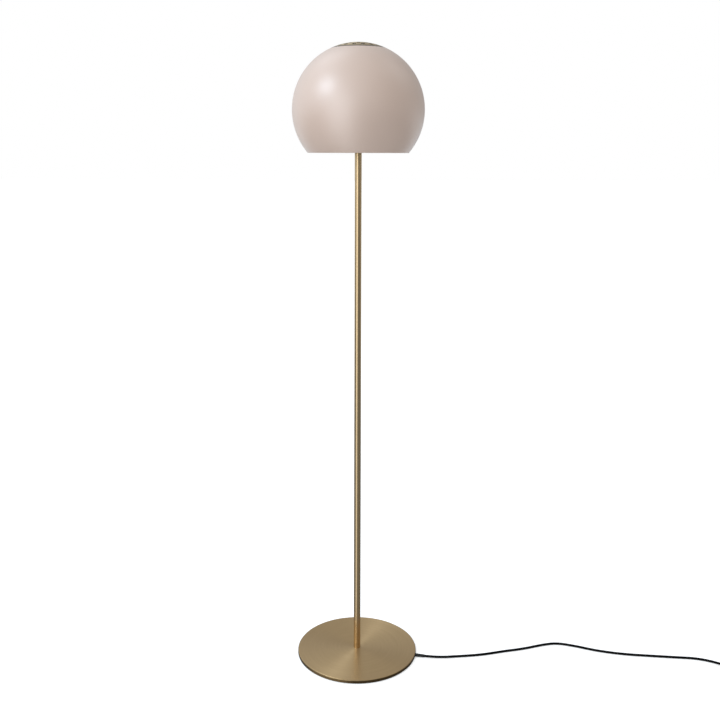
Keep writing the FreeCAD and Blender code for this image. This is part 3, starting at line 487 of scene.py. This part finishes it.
@dataclass
class Workshop:
    """Keeps the finishes and puts them on pieces by the record's slots."""

    shade_centre: tuple[float, float, float]
    shade_wall_radius: float
    # how far outside the middle of the shade's wall the cap's brushed outside begins; deeper than that the
    # cap gets painted shade
    cap_skin_out: float = 0.4 * MM
    cap_rim_radius: float = 59.5 * MM
    materials: dict[str, bpy.types.Material] = field(default_factory=dict)

    def finishes(self) -> dict[str, Finish]:
        """List the finish of each slot.

        Returns:
            Slot name and finish.
        """
        return {
            # closed-cell foam, cut from sheet: small dull cells
            "foam": GrainedFinish("foam_cut", "#2b2b2b", "#1c1c1c", 0.9, grain_mm=1.2, depth_mm=0.3),
            # turned brass plate, brushed in circles: light sectors that meet at the stem, and painted shade
            # on the upright edge
            "base_brass": BrushedBrass("brass_plate_circular_brushed", Brushing.CIRCULAR, PaintedShade.EDGE),
            # drawn tube, belt-brushed in rings: one straight bright band beside a dark one
            "stem_brass": BrushedBrass("brass_tube_brushed", Brushing.AROUND, light="#cdb28a",
                                       dark="#c6ab83", roughness=0.2, anisotropy=0.9,
                                       gloss_spread=0.01),
            # pressed cap, brushed outside: painted shade inside, in the holes and on the rim, so that dark
            # holes lie between light webs
            "cap_brass": BrushedBrass("brass_pressed_brushed", Brushing.CIRCULAR, PaintedShade.INSIDE,
                                      light="#bdab8c", dark="#a59474", painted_shade_tone="#30251a",
                                      roughness=0.4, anisotropy=0.7, centre=self.shade_centre,
                                      wall_radius=self.shade_wall_radius + self.cap_skin_out,
                                      rim_radius=self.cap_rim_radius),
            # zinc-plated steel: cool grey with a soft bloom
            "zinc_steel": GrainedFinish("steel_zinc_plated", "#c9ccd0", "#b3b6ba", 0.32, 1.0),
            # spring wire, drawn bright: hard grey glints along the coils
            "spring_steel": GrainedFinish("steel_drawn_wire", "#b9bcc0", "#94979c", 0.28, 1.0),
            # powder coat: thick, slightly pebbled white
            "spider_steel": GrainedFinish("steel_powder_coated", "#efece7", "#e6e3de", 0.5,
                                          grain_mm=0.9, depth_mm=0.06),
            # satin lacquer, sprayed on spun steel: a broad soft highlight that fades into even pink-beige
            "shade_lacquer": ShadeLacquer("steel_spun_lacquered", self.shade_centre,
                                          self.shade_wall_radius),
            # etched opal glass: milky, with a soft gloss
            "opal_glass": GrainedFinish("glass_opal_etched", "#f4f2ec", "#efede6", 0.22, grain_mm=0.8,
                                        depth_mm=0.004, subsurface=0.6),
            # rolled brass, nickel-plated: warm grey mirror along the thread
            "nickel": GrainedFinish("brass_nickel_plated", "#cfcabf", "#bdb8ae", 0.18, 1.0),
            # free-cutting brass, turned and milled: clear yellow with sharp glints
            "terminal_brass": GrainedFinish("brass_machined", "#d1b36c", "#b99a55", 0.25, 1.0),
            # glazed porcelain: warm white under a clear glaze
            "porcelain": GrainedFinish("porcelain_glazed", "#f1efe8", "#e9e6de", 0.3, coat=0.8),
            # thermoplastic, injection moulded in a polished tool: even white with a dull gloss
            "holder_plastic": GrainedFinish("thermoplastic_white_moulded", "#eeece6", "#e8e6e0", 0.42),
            # nylon, moulded: slightly warmer and duller white
            "white_plastic": GrainedFinish("nylon_white_moulded", "#e9e7e0", "#e2e0d9", 0.45),
            # ABS moulded in a spark-eroded tool: fine matt pebble
            "black_plastic": GrainedFinish("abs_black_spark_textured", "#171718", "#101011", 0.52,
                                           grain_mm=0.5, depth_mm=0.04, specular=0.3),
            # ABS moulded in a smoother tool: the button shines a little beside its matt shell
            "button_plastic": GrainedFinish("abs_black_semi_gloss", "#222223", "#1a1a1b", 0.28),
            # PVC moulded on the cord: deep black with a soft gloss
            "plug_plastic": GrainedFinish("pvc_black_moulded", "#1c1c1d", "#151516", 0.42),
            # soft PVC, moulded: dull black that hardly shines, as the cord beside it
            "bush_rubber": GrainedFinish("pvc_soft_black_moulded", "#121213", "#0b0b0c", 0.6,
                                         specular=0.2),
            # rubber, moulded: charcoal without gloss
            "foot_rubber": GrainedFinish("rubber_black_moulded", "#2a2a2a", "#202020", 0.8),
            # black glass, fused round the contact: small sharp lights
            "bulb_black": GrainedFinish("glass_black_fused", "#141414", "#0d0d0d", 0.2),
            # polyester yarn, braided over the cable: black, with a fine crossing pattern
            "cord": BraidedJacket("polyester_braid_black"),
            # PVC insulation, extruded: smooth and even in the colours of live and neutral
            "core_brown": GrainedFinish("pvc_brown_extruded", "#6a4630", "#5d3c28", 0.4),
            "core_blue": GrainedFinish("pvc_blue_extruded", "#3f7fc4", "#3773b6", 0.4),
            # glass fibre, woven: off-white threads that cross
            "sleeve_white": BraidedJacket("glass_fibre_woven", light="#e6e4dc", dark="#c4c1b6"),
            # nylon, moulded on the pins: smooth black
            "sleeve_black": GrainedFinish("nylon_black_moulded", "#1c1c1d", "#151516", 0.35),
        }

    def dress(self) -> None:
        """Put each slot's finish on the CAD nodes that take it."""
        for slot, finish in self.finishes().items():
            self.materials[slot] = finish.build()
        for part in frame["record"]["subparts"]:
            self.paint(frame["nodes"][part["node"]], part["material_slot"])
        LOG.info("finishes: %d on %d nodes", len(self.materials), len(frame["nodes"]))

    def paint(self, piece: bpy.types.Object, slot: str) -> None:
        """Give a piece one slot's finish.

        Args:
            piece: object to paint.
            slot: the record's name of the finish.
        """
        piece.data.materials.clear()
        piece.data.materials.append(self.materials[slot])

    def hand_over(self, piece: bpy.types.Object, slot: str, body: str, *nodes: str) -> bpy.types.Object:
        """Finish a new piece and put it in the place of its CAD nodes.

        Args:
            piece: the new piece.
            slot: the record's name of its finish.
            body: body that it rides on.
            nodes: CAD nodes that it stands for.

        Returns:
            The same piece.
        """
        self.paint(piece, slot)
        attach(piece, body)
        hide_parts(*nodes)
        LOG.info("%s stands for %s", piece.name, ", ".join(nodes))
        return piece


# Turned pieces


class Relief(ABC):
    """A pattern that is pressed, rolled or moulded into a turned piece."""

    @abstractmethod
    def shift(self, radius: float, height: float, angle: float) -> tuple[float, float]:
        """Move a point of the plain piece on to the pattern.

        Args:
            radius: distance from the axis, in mm.
            height: height above the piece's foot, in mm.
            angle: direction round the axis.

        Returns:
            New distance and height.
        """


@dataclass(frozen=True)
class RoundThread(Relief):
    """Rolled or moulded round thread that is cut inwards from the nominal radius, in mm."""

    pitch: float
    depth: float
    low: float
    high: float
    from_radius: float

    def shift(self, radius: float, height: float, angle: float) -> tuple[float, float]:
        """Move a point on to the helix, which runs out softly at both ends.

        Args:
            radius: distance from the axis, in mm.
            height: height above the piece's foot, in mm.
            angle: direction round the axis.

        Returns:
            New distance and height.
        """
        if radius < self.from_radius:
            return radius, height
        start = min(max((height - self.low) / self.pitch, 0.0), 1.0)
        end = min(max((self.high - height) / self.pitch, 0.0), 1.0)
        turn = 2 * math.pi * height / self.pitch - angle
        return radius - self.depth * start * end * (0.5 - 0.5 * math.cos(turn)), height


@dataclass(frozen=True)
class GripRibs(Relief):
    """Scalloped grip round the outside, in mm."""

    count: int
    depth: float
    from_radius: float

    def shift(self, radius: float, height: float, angle: float) -> tuple[float, float]:
        """Move a point into the hollows between the ribs.

        Args:
            radius: distance from the axis, in mm.
            height: height above the piece's foot, in mm.
            angle: direction round the axis.

        Returns:
            New distance and height.
        """
        if radius < self.from_radius:
            return radius, height
        return radius - self.depth * max(0.0, math.cos(self.count * angle)), height


@dataclass(frozen=True)
class TreadRings(Relief):
    """Raised rings on the top face, against slipping, in mm."""

    pitch: float
    depth: float
    inner: float
    outer: float
    from_height: float

    def shift(self, radius: float, height: float, angle: float) -> tuple[float, float]:
        """Move a point down into the grooves between the rings.

        Args:
            radius: distance from the axis, in mm.
            height: height above the piece's foot, in mm.
            angle: direction round the axis.

        Returns:
            New distance and height.
        """
        if height < self.from_height or not self.inner < radius < self.outer:
            return radius, height
        turn = 2 * math.pi * (radius - self.inner) / self.pitch
        return radius, height - self.depth * (0.5 - 0.5 * math.cos(turn))


@dataclass(frozen=True)
class TurnedPiece:
    """A piece turned round an upright axis: its foot in metres, all other lengths in mm."""

    name: str
    outline: Outline
    foot: Vector
    relief: Relief | None = None
    sides: int = 96
    step: float = 40.0
    bevel: float = 0.0
    bevel_steps: int = 2
    sharp_angle: float = 40.0

    def fine_outline(self) -> Outline:
        """Divide the outline's long runs, so that the relief can shape them.

        Returns:
            Outline with closer points.
        """
        ends = self.outline[1:] + self.outline[:1]
        points = []
        for start, end in zip(self.outline, ends):
            count = 1 if start[0] == end[0] == 0 else math.ceil(math.dist(start, end) / self.step)
            points += [(start[0] + (end[0] - start[0]) * place / count,
                        start[1] + (end[1] - start[1]) * place / count) for place in range(count)]
        return points

    def build(self) -> bpy.types.Object:
        """Make the mesh.

        Returns:
            The turned object.
        """
        shape = bmesh.new()
        rows = []
        for radius, height in self.fine_outline():
            row = []
            for count in range(self.sides if radius else 1):
                angle = 2 * math.pi * count / self.sides
                reach, level = self.relief.shift(radius, height, angle) if self.relief else (radius, height)
                row.append(shape.verts.new(self.foot + Vector((math.cos(angle) * reach,
                                                               math.sin(angle) * reach, level)) * MM))
            rows.append(row)
        closed = [] if len(rows[0]) == len(rows[-1]) == 1 else [(rows[-1], rows[0])]
        for low, high in list(zip(rows, rows[1:])) + closed:
            for count in range(self.sides):
                after = (count + 1) % self.sides
                corners = [low[count % len(low)], low[after % len(low)],
                           high[after % len(high)], high[count % len(high)]]
                shape.faces.new(list(dict.fromkeys(corners)))
        bmesh.ops.recalc_face_normals(shape, faces=shape.faces)
        mesh = bpy.data.meshes.new(self.name)
        shape.to_mesh(mesh)
        shape.free()
        mesh.polygons.foreach_set("use_smooth", [True] * len(mesh.polygons))
        mesh.set_sharp_from_angle(angle=math.radians(self.sharp_angle))
        piece = place_object(self.name, mesh)
        if self.bevel:
            edge = piece.modifiers.new("edges", "BEVEL")
            edge.width = self.bevel * MM
            edge.segments = self.bevel_steps
            edge.angle_limit = math.radians(self.sharp_angle)
            edge.harden_normals = True
        return piece


@dataclass
class LampHead:
    """The E27 lamp holder, its shade ring and the bulb's screw cap, in mm."""

    workshop: Workshop
    wall_skin: float = 0.5
    holder_radius: float = 20.0
    holder_inner: float = 15.2
    holder_seat: float = 18.0
    seat_height: float = 5.0
    shoulder_radius: float = 24.0
    shoulder: tuple[float, float] = (4.0, 8.0)
    shell_height: float = 36.0
    shell_pitch: float = 3.0
    shell_thread_depth: float = 0.9
    shell_thread_start: float = 2.5
    shell_thread_end: float = 0.8
    ring_inner: float = 20.05
    ring_radius: float = 28.5
    ring_height: float = 6.0
    ring_crown: float = 2.0
    ring_ribs: int = 36
    rib_depth: float = 0.9
    rib_start: float = 4.0
    sides_per_rib: int = 8
    cap_radius: float = 13.3
    cap_wall: float = 0.5
    cap_height: float = 24.0
    cap_hole: float = 5.6
    cap_lip: float = 12.55
    cap_grip: float = 5.0
    cap_pitch: float = 3.62
    cap_thread_depth: float = 1.1
    cap_thread_start: float = 2.2
    cap_thread_end: float = 0.6
    cap_thread_skin: float = 1.0
    cap_round: float = 1.5
    cap_lip_slope: float = 0.2
    cap_inside_low: float = 1.8
    cap_inside_round: float = 1.4

    def build(self) -> None:
        """Make the three pieces and put them in the place of their plain solids."""
        self.build_shell()
        self.build_ring()
        self.build_bulb_cap()

    def build_shell(self) -> None:
        """Make the holder's shell with its outer thread."""
        low, high = self.shoulder
        outline = [
            (self.holder_seat, 0.0), (self.holder_radius, 0.0), (self.holder_radius, low),
            (self.shoulder_radius, low), (self.shoulder_radius, high), (self.holder_radius, high),
            (self.holder_radius, self.shell_height), (self.holder_inner, self.shell_height),
            (self.holder_inner, self.seat_height), (self.holder_seat, self.seat_height),
        ]
        thread = RoundThread(self.shell_pitch, self.shell_thread_depth, high + self.shell_thread_start,
                             self.shell_height - self.shell_thread_end,
                             self.holder_radius - self.wall_skin)
        piece = TurnedPiece("holder_shell_threaded", outline, Vector((0, 0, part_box("holder_shell")[0].z)),
                            thread, sides=72, step=0.5, bevel=0.25).build()
        self.workshop.hand_over(piece, "holder_plastic", LAMP, "holder_shell")

    def build_ring(self) -> None:
        """Make the shade ring with its grip."""
        outline = [
            (self.ring_inner, 0.0), (self.ring_radius, 0.0), (self.ring_radius, self.ring_height / 2),
            (self.holder_radius + self.ring_crown, self.ring_height), (self.ring_inner, self.ring_height),
        ]
        grip = GripRibs(self.ring_ribs, self.rib_depth, self.holder_radius + self.rib_start)
        piece = TurnedPiece("shade_ring_ribbed", outline, Vector((0, 0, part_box("shade_ring")[0].z)),
                            grip, sides=self.ring_ribs * self.sides_per_rib, step=1.5,
                            sharp_angle=50.0).build()
        self.workshop.hand_over(piece, "holder_plastic", LAMP, "shade_ring")

    def build_bulb_cap(self) -> None:
        """Make the bulb's cap with its rolled E27 thread."""
        inner = self.cap_radius - self.cap_wall
        step = self.cap_height - self.cap_grip
        outline = [
            (self.cap_hole, 0.0), (self.cap_radius - self.cap_round, 0.0),
            (self.cap_radius, self.cap_round),
            (self.cap_radius, self.cap_height), (self.cap_lip, self.cap_height), (self.cap_lip, step),
            (inner, step - self.cap_lip_slope), (inner, self.cap_inside_low),
            (inner - self.cap_inside_round, self.cap_wall), (self.cap_hole, self.cap_wall),
        ]
        thread = RoundThread(self.cap_pitch, self.cap_thread_depth, self.cap_thread_start,
                             step - self.cap_thread_end, inner - self.cap_thread_skin)
        piece = TurnedPiece("bulb_cap_threaded", outline, Vector((0, 0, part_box("bulb_cap")[0].z)),
                            thread, sides=72, step=0.4).build()
        self.workshop.hand_over(piece, "nickel", LAMP, "bulb_cap")


@dataclass
class FootButton:
    """The foot switch's ringed button, in mm, and the spring that lifts it by a stroke in metres."""

    workshop: Workshop
    radius: float = 14.5
    flange_reach: float = 2.0
    flange_height: float = 2.0
    wall: float = 2.5
    edge_round: float = 2.0
    plunger_radius: float = 2.2
    rounding_steps: int = 6
    flange_lid: float = 2.05
    tread_pitch: float = 2.2
    tread_depth: float = 0.5
    tread_inner: float = 1.2
    tread_outer: float = 12.2
    tread_skin: float = 0.1
    stroke: float = 3.0 * MM

    def build(self) -> list[bpy.types.Object]:
        """Make the button and its spring.

        Returns:
            Both pieces.
        """
        return [self.build_button(), self.build_spring()]

    def build_spring(self) -> bpy.types.Object:
        """Copy the return spring as a piece of its own, in the place of its CAD node.

        Returns:
            The spring.
        """
        low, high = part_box("switch_spring")
        spring = place_object("switch_spring_wound", frame["nodes"]["switch_spring"].data.copy())
        self.workshop.hand_over(spring, "spring_steel", LAMP, "switch_spring")
        foot = (low + high) / 2
        foot.z = low.z
        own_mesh(spring)
        return spring

    def build_button(self) -> bpy.types.Object:
        """Make the button and put it in the place of its plain solid.

        Returns:
            The finished button.
        """
        low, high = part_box("switch_button")
        middle = (low + high) / 2
        height = (high.z - low.z) / MM
        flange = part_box("switch_upper")[1].z / MM - low.z / MM - self.flange_lid
        rounding = [(self.radius - self.edge_round * (1 - math.cos(turn)),
                     height - self.edge_round * (1 - math.sin(turn)))
                    for turn in (math.pi / (2 * self.rounding_steps) * count
                                 for count in range(self.rounding_steps + 1))]
        outline = [
            (0.0, 0.0), (self.plunger_radius, 0.0), (self.plunger_radius, height - self.wall),
            (self.radius - self.wall, height - self.wall),
            (self.radius - self.wall, flange - self.flange_height),
            (self.radius + self.flange_reach, flange - self.flange_height),
            (self.radius + self.flange_reach, flange), (self.radius, flange),
            *rounding, (0.0, height),
        ]
        tread = TreadRings(self.tread_pitch, self.tread_depth, self.tread_inner, self.tread_outer,
                           height - self.tread_skin)
        piece = TurnedPiece("switch_button_ringed", outline, Vector((middle.x, middle.y, low.z)),
                            tread, sides=72, step=0.3).build()
        return self.workshop.hand_over(piece, "button_plastic", FOOT_BUTTON, "switch_button")


# Cords

ROUND_STEPS = 5
SPAN_STEPS = 10


def level_way(heading: float) -> Vector:
    """Level unit vector at a heading in degrees."""
    return Vector((math.cos(math.radians(heading)), math.sin(math.radians(heading)), 0))


def lay_cord(name: str, points: Sequence[Vector], diameter: float) -> bpy.types.Object:
    """Lay a round cord along the control points of one smooth spline.

    Args:
        name: name of the piece.
        points: control points from end to end.
        diameter: thickness of the cord.

    Returns:
        The curve object.
    """
    curve = bpy.data.curves.new(name, "CURVE")
    curve.dimensions = "3D"
    curve.bevel_depth = diameter / 2
    curve.bevel_resolution = ROUND_STEPS
    curve.resolution_u = SPAN_STEPS
    curve.use_fill_caps = True
    spline = curve.splines.new("NURBS")
    spline.points.add(len(points) - 1)
    for spot, point in zip(spline.points, points):
        spot.co = (*point, 1.0)
    spline.order_u = 3
    spline.use_endpoint_u = True
    return place_object(name, curve)


@dataclass
class MainsCord:
    """The cord from the base over the floor to the foot switch, its put-away coil and its plug."""

    workshop: Workshop
    pressed_pieces: list[bpy.types.Object]
    diameter: float = 5.6 * MM
    lift: float = 3.0 * MM
    base_heading: float = -11.2
    base_exit: float = 164.0 * MM
    base_height: float = 4.4 * MM
    straight: float = 30.0 * MM
    route_mm: tuple[tuple[float, float], ...] = (
        (240, -31), (300, -23.5), (352, -8.5), (405, 3.5), (455, 22), (490, 29), (530, 17), (580, -5),
        (640, -20), (705, -27), (763, -33), (808, -37), (845, -52),
    )
    switch_place: tuple[float, float] = (885.0 * MM, -105.0 * MM)
    switch_heading: float = -55.0
    switch_height: float = 8.0 * MM
    switch_span: float = 134.0 * MM
    coil_lead: float = 46.0 * MM
    lead_level: float = 11.3 * MM
    coil_radius: float = 30.8 * MM
    coil_pitch: float = 6.2 * MM
    coil_turns: int = 5
    coil_heading_out: float = 180.0
    points_per_turn: int = 24
    plug_tail: float = 50.0 * MM
    tail_level: float = 15.0 * MM
    plug_height: float = 6.85 * MM
    free_length: float = 0.7694
    coiled_length: float = 1.138

    def build(self) -> None:
        way_out = level_way(self.base_heading)
        way_in = level_way(self.switch_heading)
        leave = way_out * self.base_exit + Vector((0, 0, self.base_height))
        entry = Vector((*self.switch_place, self.switch_height))
        points = [leave, leave + way_out * self.straight]
        points += [Vector((x * MM, y * MM, self.lift)) for x, y in self.route_mm]
        points += [entry - way_in * self.straight, entry]
        free = lay_cord("cord_free", points, self.diameter)
        self.workshop.hand_over(free, "cord", LAMP, "mains_cord")
        away = entry + way_in * self.switch_span
        coiled = lay_cord("cord_coiled", self.coil_points(away, way_in), self.diameter)
        self.workshop.hand_over(coiled, "cord", LAMP, "switch_lead", "cord_coil", "plug_lead")

    def coil_points(self, away: Vector, way_in: Vector) -> list[Vector]:
        """Work out the coil's control points, from the switch to the plug.

        Args:
            away: tip of the switch's second bush.
            way_in: direction in which the cord leaves it.

        Returns:
            Control points.
        """
        start = away + way_in * self.coil_lead
        start.z = self.lift
        sweep = (self.switch_heading - self.coil_heading_out) % FULL_TURN + FULL_TURN * self.coil_turns
        outer = self.coil_radius + self.coil_pitch * sweep / (4 * FULL_TURN)
        inner = outer - self.coil_pitch * sweep / (2 * FULL_TURN)
        centre = start + level_way(self.switch_heading - 90) * outer
        end = start - way_in * self.diameter
        points = [away, away + way_in * self.lead_level, end - way_in * self.lead_level, end]
        count = round(sweep * self.points_per_turn / FULL_TURN)
        for step in range(count + 1):
            turned = sweep * step / count
            from_middle = turned - sweep / 2
            radius = inner + self.coil_pitch * abs(from_middle) / FULL_TURN
            climb = min(max(2 * from_middle / FULL_TURN + 0.5, 0), 1)
            height = self.coil_pitch * climb * climb * (3 - 2 * climb)
            points.append(centre + level_way(self.switch_heading - turned + 90) * radius
                          + Vector((0, 0, height)))
        way = level_way(self.coil_heading_out)
        last = points[-1] + way * self.diameter
        drop = Vector((0, 0, last.z - self.plug_height))
        points += [last, last + way * self.tail_level,
                   last + way * (self.plug_tail - self.tail_level) - drop,
                   last + way * self.plug_tail - drop]
        return points


# Studio


@dataclass(frozen=True)
class SoftBox:
    """A rectangular studio lamp with a wide soft face."""

    name: str
    place: tuple[float, float, float]
    aim: tuple[float, float, float]
    width: float
    height: float
    power: float
    colour: str = WHITE

    def build(self) -> None:
        """Hang the lamp and turn its face to its aim."""
        data = bpy.data.lights.new(self.name, "AREA")
        data.shape = "RECTANGLE"
        data.size = self.width
        data.size_y = self.height
        data.energy = self.power
        data.color = linear(self.colour)[:3]
        lamp = place_object(self.name, data)
        lamp.location = self.place
        lamp.rotation_euler = (Vector(self.aim) - Vector(self.place)).to_track_quat("-Z", "Y").to_euler()
        lamp.visible_camera = False


@dataclass
class Studio:
    """Pale floor, white surroundings, soft lamps and the camera."""

    camera_distance: float = 2.063
    camera_height: float = 1.1925
    tilt_down: float = 6.53
    roll: float = 0.146
    focal_pixels: float = 901.9
    centre_pixels: tuple[float, float] = (358.0, 258.0)
    image_pixels: float = 720.0
    sensor_mm: float = 36.0
    far_limit: float = 200.0
    floor_reach: float = 40.0
    floor_colour: str = "#e6e6e6"
    # painted reflection: the floor as brass and lacquer see it, grey as painted shade and white as painted
    # pools of light
    painted_floor_shade: str = "#868686"
    painted_floor_light: str = WHITE
    window_side: tuple[float, float, float] = (-0.53, -0.85, 0.0)
    window_fade: tuple[float, float] = (0.88, 0.98)
    sweep_fade: tuple[float, float] = (1.2, 2.4)
    floor_glow: float = 0.48
    bright_side: tuple[float, float, float] = (-0.92, -0.2, 0.33)
    fade: tuple[float, float] = (-0.4, 0.8)
    cool_side: str = "#ecf4fb"
    diffuse_light: tuple[float, float] = (0.56, 1.16)
    polished_light: tuple[float, float] = (0.46, 1.14)
    lamps: tuple[SoftBox, ...] = (
        SoftBox("key_left", (-2.15, -1.1, 2.85), (0, 0, 1.2), 1.0, 0.9, 21.5, "#e0eefd"),
        SoftBox("window_left", (-1.3, -2.1, 1.3), (0, 0, 1.0), 1.8, 2.4, 16.5, "#f2f7fd"),
        SoftBox("top_left", (-1.6, 1.1, 4.3), (0, 0, 1.2), 2.0, 2.0, 10.0, "#eef5ff"),
        SoftBox("top_right", (2.6, 0.7, 3.9), (0, 0, 0.2), 2.0, 2.0, 6.0),
    )

    def build(self) -> None:
        """Set up everything round the lamp."""
        scene = bpy.context.scene
        scene.view_settings.view_transform = "Standard"
        self.build_camera(scene)
        self.build_surroundings(scene)
        self.build_floor(scene)
        for lamp in self.lamps:
            lamp.build()
        LOG.info("studio: camera, floor and %d lamps", len(self.lamps))

    def build_camera(self, scene: bpy.types.Scene) -> None:
        """Stand the camera where the photograph was taken from.

        Args:
            scene: scene that gets the camera.
        """
        data = bpy.data.cameras.new("camera")
        data.sensor_width = self.sensor_mm
        data.lens = self.focal_pixels / self.image_pixels * self.sensor_mm
        data.shift_x = (self.image_pixels / 2 - self.centre_pixels[0]) / self.image_pixels
        data.shift_y = (self.centre_pixels[1] - self.image_pixels / 2) / self.image_pixels
        data.clip_end = self.far_limit
        camera = bpy.data.objects.new("camera", data)
        scene.collection.objects.link(camera)
        turn = Euler((math.radians(90 - self.tilt_down), 0, 0)).to_matrix().to_4x4()
        turn @= Matrix.Rotation(math.radians(self.roll), 4, "Z")
        camera.matrix_world = Matrix.Translation((0, -self.camera_distance, self.camera_height)) @ turn
        scene.camera = camera

    def build_surroundings(self, scene: bpy.types.Scene) -> None:
        """Make the world white to the eye and a soft light that fades from left to right on the object.

        Args:
            scene: scene whose world is set.
        """
        world = bpy.data.worlds.new("surroundings")
        tree = blank_tree(world)
        path = add_node(tree, "ShaderNodeLightPath")
        way = add_node(tree, "ShaderNodeTexCoord").outputs["Generated"]
        share = map_range(tree, reckon_vectors(tree, "DOT_PRODUCT", way, self.bright_side).outputs["Value"],
                          self.fade)
        matt, polished = [mix_numbers(tree, share, *light)
                          for light in (self.diffuse_light, self.polished_light)]
        lit = mix_numbers(tree, path.outputs["Is Glossy Ray"], matt, polished)
        tint = mix_colours(tree, share, WHITE, self.cool_side)
        camera_or_painted_shade = seen_bare(tree, path)
        sky = add_node(tree, "ShaderNodeBackground", {"Color": mix_colours(tree, camera_or_painted_shade, tint, WHITE),
                                                      "Strength": mix_numbers(tree, camera_or_painted_shade, lit, 1.0)})
        add_node(tree, "ShaderNodeOutputWorld", {"Surface": sky.outputs[0]})
        scene.world = world

    def build_floor(self, scene: bpy.types.Scene) -> bpy.types.Object:
        """Lay a wide pale floor that keeps the lamp's soft shadow, and paint light and shade into what brass
        and lacquer see of it.

        Args:
            scene: scene that gets the floor.

        Returns:
            The floor.
        """
        reach = self.floor_reach
        mesh = bpy.data.meshes.new("floor")
        mesh.from_pydata([(-reach, -reach, 0), (reach, -reach, 0), (reach, reach, 0), (-reach, reach, 0)],
                         [], [(0, 1, 2, 3)])
        floor = bpy.data.objects.new("floor", mesh)
        scene.collection.objects.link(floor)
        material = bpy.data.materials.new("floor_pale_paper")
        tree = blank_tree(material)
        path = add_node(tree, "ShaderNodeLightPath")
        place = object_place(tree)
        way = reckon_vectors(tree, "NORMALIZE", place).outputs[0]
        side = reckon_vectors(tree, "DOT_PRODUCT", way, self.window_side).outputs["Value"]
        back = add_node(tree, "ShaderNodeSeparateXYZ", {0: place}).outputs[1]
        # painted reflection: brass and lacquer see the floor white before the window and far behind, as
        # painted pools of light, and painted grey shade beside that
        painted_light_patch = reckon(tree, "MAXIMUM", map_range(tree, side, self.window_fade),
                       map_range(tree, back, self.sweep_fade))
        painted_floor_reflection = mix_colours(tree, painted_light_patch, self.painted_floor_shade, self.painted_floor_light)
        tone = mix_colours(tree, path.outputs["Is Glossy Ray"], self.floor_colour, painted_floor_reflection)
        matt = add_node(tree, "ShaderNodeBsdfDiffuse", {"Color": tone})
        strength = reckon(tree, "MULTIPLY", seen_bare(tree, path), self.floor_glow)
        glow = add_node(tree, "ShaderNodeEmission", {"Strength": strength})
        both = add_node(tree, "ShaderNodeAddShader", {0: matt.outputs[0], 1: glow.outputs[0]})
        add_node(tree, "ShaderNodeOutputMaterial", {"Surface": both.outputs[0]})
        mesh.materials.append(material)
        return floor


def main() -> None:
    """Build the lamp's looks and the studio round it."""
    logging.basicConfig(level=logging.INFO, format="%(name)s: %(message)s")
    low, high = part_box("shade")
    outer_radius = (high.x - low.x) / 2
    dome_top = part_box("vent_cap")[1].z
    workshop = Workshop((0.0, 0.0, dome_top - outer_radius), outer_radius - SHADE_HALF_WALL)
    workshop.dress()
    LampHead(workshop).build()
    MainsCord(workshop, FootButton(workshop).build()).build()
    Studio().build()


if __name__ == "__main__":
    main()
